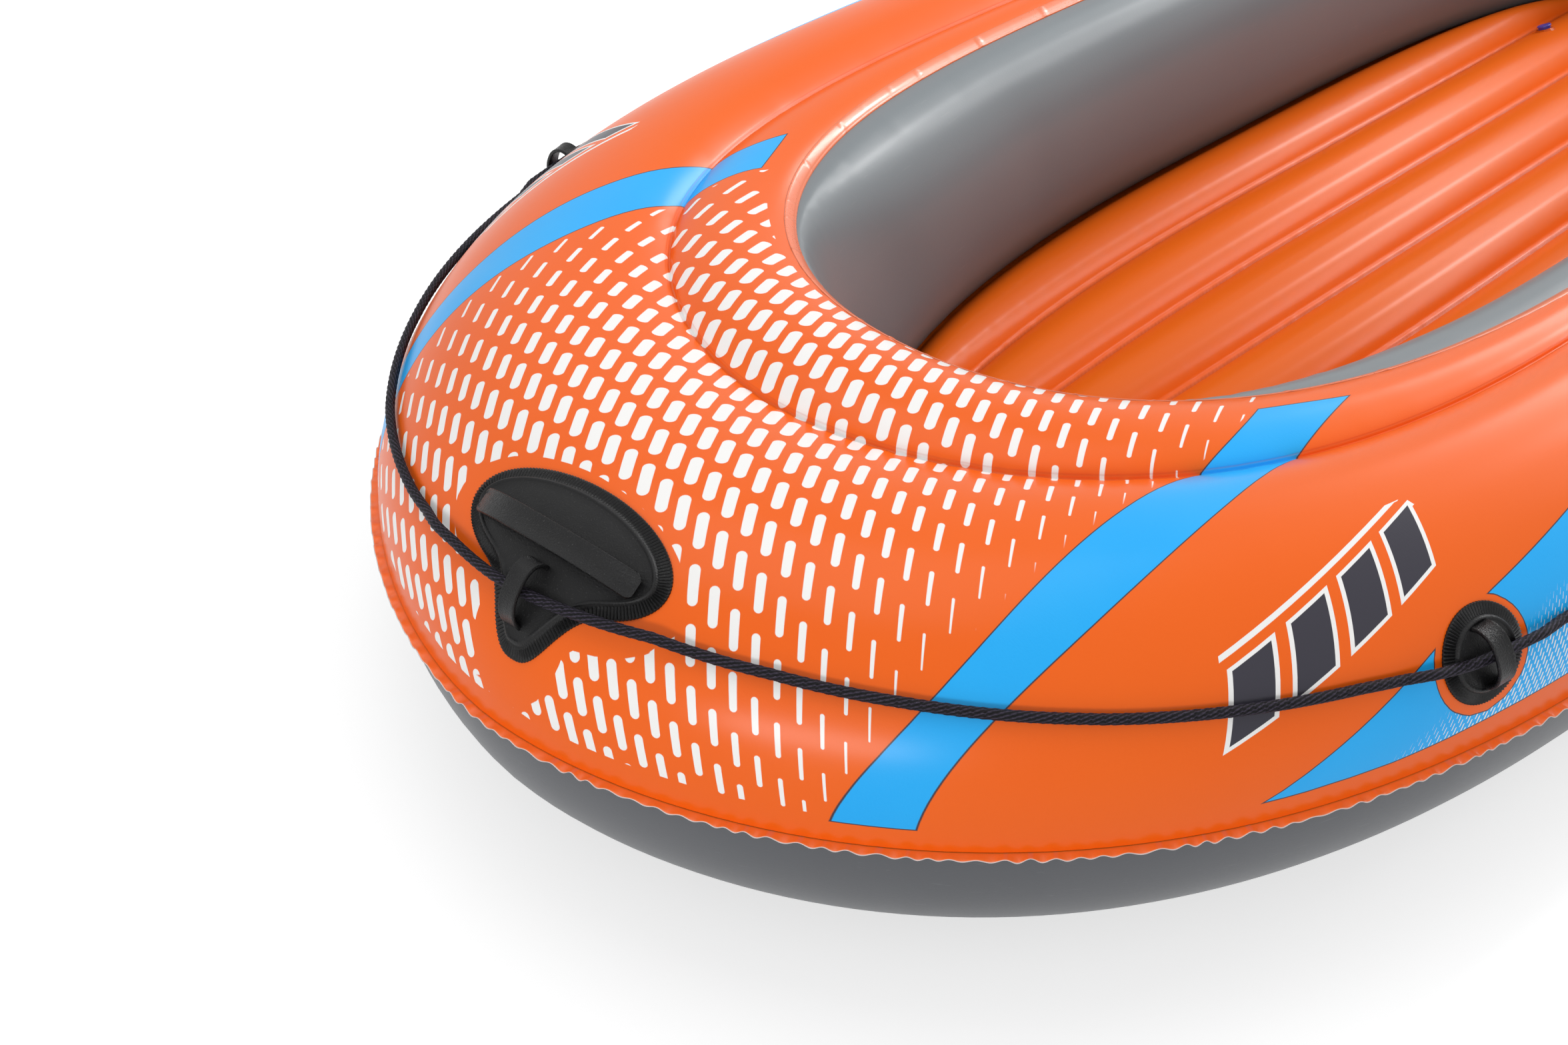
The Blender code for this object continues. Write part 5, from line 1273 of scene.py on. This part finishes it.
def ring_faces(shape, first=0):
    """Numbers of the points of a stack of closed rings, and the quads between the rings."""
    number = first + np.arange(shape[0] * shape[1]).reshape(shape[:2])
    beside = np.roll(number, -1, 1)
    quads = np.stack([number[:-1], beside[:-1], beside[1:], number[1:]], -1)
    return number, quads.reshape(-1, 4).tolist()


def plate_parts(seat, outline, middle):
    """Points, faces and marks of a plate: its ribbed rim, its bead and its field."""
    around = travelled_along(outline(np.linspace(0, 2 * math.pi, MEASURED_POINTS)))[-1]
    count = RIB_SAMPLES * round(around / RIB_PITCH)
    edge, inward = even_outline(outline, count)
    wave = 0.5 + 0.5 * np.cos(np.arange(count) * 2 * math.pi / RIB_SAMPLES)
    scallop = RIB_SCALLOP * (wave[:, None] - 0.5)
    rows, marks = [], []
    for share, lift, shows in RIM_PROFILE:
        place = edge + inward * (share * RIM_WIDTH - (scallop if share < 0.1 else 0))
        rows.append(np.column_stack([place, lift - RIB_RELIEF * shows * (1 - wave)]))
        marks.append(np.column_stack([np.full(count, share), wave, np.full(count, shows)]))
    last = rows[-1][:, :2]
    for share in INNER_RINGS:
        rows.append(np.column_stack([middle + (last - middle) * share, np.full(count, FIELD_LIFT)]))
    grid = bent_onto(seat, np.array(rows))
    centre = bent_onto(seat, np.array([[*middle, FIELD_LIFT]]))
    number, faces = ring_faces(grid.shape)
    around_centre = np.stack([number[-1], np.roll(number[-1], -1), np.full(count, number.size)], -1)
    faces += around_centre.tolist()
    field = np.tile([FIELD_MARK, 0.0, 0.0], (count * len(INNER_RINGS) + 1, 1))
    return np.vstack([grid.reshape(-1, 3), centre]), faces, np.vstack([*marks, field])


def bar_rings(path, width, thickness, corner, lip, round_ends=0.0):
    """A bar along a path of (up, lift): flat below, with rounded edges and raised lips above."""
    ahead = unit(np.gradient(path, axis=0))
    off_up, off_lift = -ahead[:, 1], ahead[:, 0]
    half, top = width / 2, thickness + lip
    lip_start, lip_end, flat = [half - corner * place for place in LIP_PLACES]
    right = [(half - corner, 0.0), (half, corner), (half, thickness - corner + lip * LIP_SIDE_share),
             (lip_start, top), (lip_end, top), (flat, thickness)]
    left = [(-across, out) for across, out in right[::-1]]
    profile = np.array([left[-1], (0.0, 0.0), *right, (0.0, thickness), *left[:-1]])
    travelled = travelled_along(path)
    to_end = np.minimum(travelled, travelled[-1] - travelled)
    narrow = np.ones(len(path))
    if round_ends:
        near_end = np.clip(1 - to_end / round_ends, 0, None)
        narrow = 1 - STRAP_NARROWS_share * near_end ** STRAP_NARROWS_POWER
    out = profile[None, :, 1]
    return np.stack([profile[None, :, 0] * narrow[:, None], path[:, :1] + off_up[:, None] * out,
                     path[:, 1:] + off_lift[:, None] * out], -1)


def bar_faces(grid, first=0):
    number, faces = ring_faces(grid.shape, first)
    return faces + [number[0][::-1].tolist(), number[-1].tolist()]


def handled(count):
    return np.tile([HANDLED_MARK, 0.0, 0.0], (count, 1))


def loop_path(middle_up):
    turn = np.linspace(0, math.pi, LOOP_STEPS + 1)
    across = -np.sign(np.cos(turn)) * np.abs(np.cos(turn)) ** (2 / LOOP_FULLNESS)
    high = np.sin(turn) ** (2 / LOOP_FULLNESS)
    return np.column_stack([middle_up + across * LOOP_SPAN / 2, LOOP_START + LOOP_RISE * high])


def moulded_plate(name, seat, outline, middle, loop_up):
    points, faces, marks = plate_parts(seat, outline, np.array(middle))
    loop = bent_onto(seat, bar_rings(loop_path(loop_up), LOOP_WIDTH, LOOP_THICKNESS, LOOP_CORNER, LOOP_LIP))
    faces += bar_faces(loop, len(points))
    mesh = smooth_mesh(name, np.vstack([points, loop.reshape(-1, 3)]), faces, sharp_angle=52)
    mark(mesh, "rubber", *np.vstack([marks, handled(loop.size // 3)]).T)
    return mesh


def grip_bar(name, seat):
    share = np.sin(np.linspace(-math.pi / 2, math.pi / 2, STRAP_STEPS + 1))
    path = np.column_stack([share * STRAP_LENGTH / 2, STRAP_FOOT + STRAP_CLEARANCE * (1 - share ** 4)])
    bar = bar_rings(path, STRAP_WIDTH, STRAP_THICKNESS, STRAP_CORNER, STRAP_LIP, STRAP_ROUND_END)
    laid = bent_onto(seat, np.stack([bar[..., 1], -bar[..., 0] - STRAP_DROP, bar[..., 2]], -1))
    mesh = smooth_mesh(name, laid, bar_faces(laid), sharp_angle=50)
    mark(mesh, "rubber", *handled(laid.size // 3).T)
    return mesh


def make_rubber_grain():
    """Moulded rubber: a fine spark-worn grain with specks of dust, and shinier patches."""
    wires, given, result = new_group(
        "rubber_grain", {"Coarse": "NodeSocketFloat"}, ["Roughness", "Height", "Dust"])
    fine = wires.noise(wires.stretched(), given["Coarse"], 4.0, 0.6)
    patch = wires.noise(wires.stretched(), 60.0)
    wires.fill(result, Roughness=patch.scaled(0.30, fine.scaled(0.16, 0.17)), Height=fine,
               Dust=(fine - 0.66).inside(0.06) * patch)
    return wires.tree


RUBBER_GRAIN = make_rubber_grain()


def make_rubber_look():
    look, wires, shader = new_look("black_rubber")
    grain = wires.group(RUBBER_GRAIN, Coarse=900.0)
    share, wave, shows = wires.marked("rubber")
    worn = (share - 1.6).inside(0.2)
    colour = wires.mix(grain["Dust"] * 0.9, RUBBER_BLACK, RUBBER_DUST)
    # Painted shade in the grooves between the rim's ribs.
    colour = wires.mix(shows * (1.0 - wave) * 0.8, colour, RUBBER_GROOVE_SHADE)
    height = grain["Height"] * (worn + 1.0)
    grain["Roughness"] = worn.scaled(-0.10, grain["Roughness"], clamp=True)
    finish(wires, shader, colour, grain, (0.5, 0.0006), height=height, Specular_IOR_Level=0.26)
    return look


RUBBER_LOOK = make_rubber_look()
for word, end in (("bow", -1), ("stern", 1)):
    seat = handle_seat(end)
    plate = moulded_plate(f"{word}_handle_moulding", seat, handle_outline, HANDLE_MIDDLE, -HANDLE_LOOP_DROP)
    add_piece(plate, RUBBER_LOOK, f"{word}_handle_plate")
    add_piece(grip_bar(f"{word}_grip_bar", seat), RUBBER_LOOK, f"{word}_handle_strap")

grommet_y = (-GROMMET_PLACE_share * SEAM.bow, 0.0, GROMMET_PLACE_share * SEAM.stern)
for number, node in enumerate(GROMMETS):
    side = 1 if node.startswith("port") else -1
    seat = grommet_seat(side, grommet_y[number % len(grommet_y)])
    plate = moulded_plate(node + "_moulding", seat, grommet_outline, (0.0, 0.0), 0.0)
    add_piece(plate, RUBBER_LOOK, node)


# Valves
# Soft vinyl valves of three kinds, tinted violet blue: a stem with a plug in the floor and in the
# inner tube, and a ring with a screw cap in the main tube. The flaps and the seal are rubber, and
# the floor valve's body is welded from the floor's own orange sheet.

VALVE_VIOLET, VALVE_VIOLET_DEEP = shade(86, 78, 196), shade(58, 48, 150)
FLAP_GREY, FLAP_GREY_DEEP = shade(70, 70, 76), shade(46, 46, 52)


def make_valve_look(name, pale, dark, coat):
    look, wires, shader = new_look(name)
    grain = wires.group(RUBBER_GRAIN, Coarse=420.0)
    cloud = wires.noise(wires.stretched(), 55.0)
    finish(wires, shader, wires.mix(cloud, dark, pale), grain, (0.15, 0.0003), coat=(coat, 0.15))
    return look


VALVE_LOOK = make_valve_look("valve_vinyl", VALVE_VIOLET, VALVE_VIOLET_DEEP, 0.5)
FLAP_LOOK = make_valve_look("valve_rubber", FLAP_GREY, FLAP_GREY_DEEP, 0.1)
for name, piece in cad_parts.items():
    if name == "floor_valve_body":
        look = FLOOR_LOOK
    elif "valve" in name:
        look = FLAP_LOOK if name.endswith(("flap", "seal")) else VALVE_LOOK
    else:
        continue
    for slot in piece.material_slots:
        slot.material = look


{"cad": [list(corner) for corner in cad_box], "visual": [list(corner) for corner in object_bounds()]}
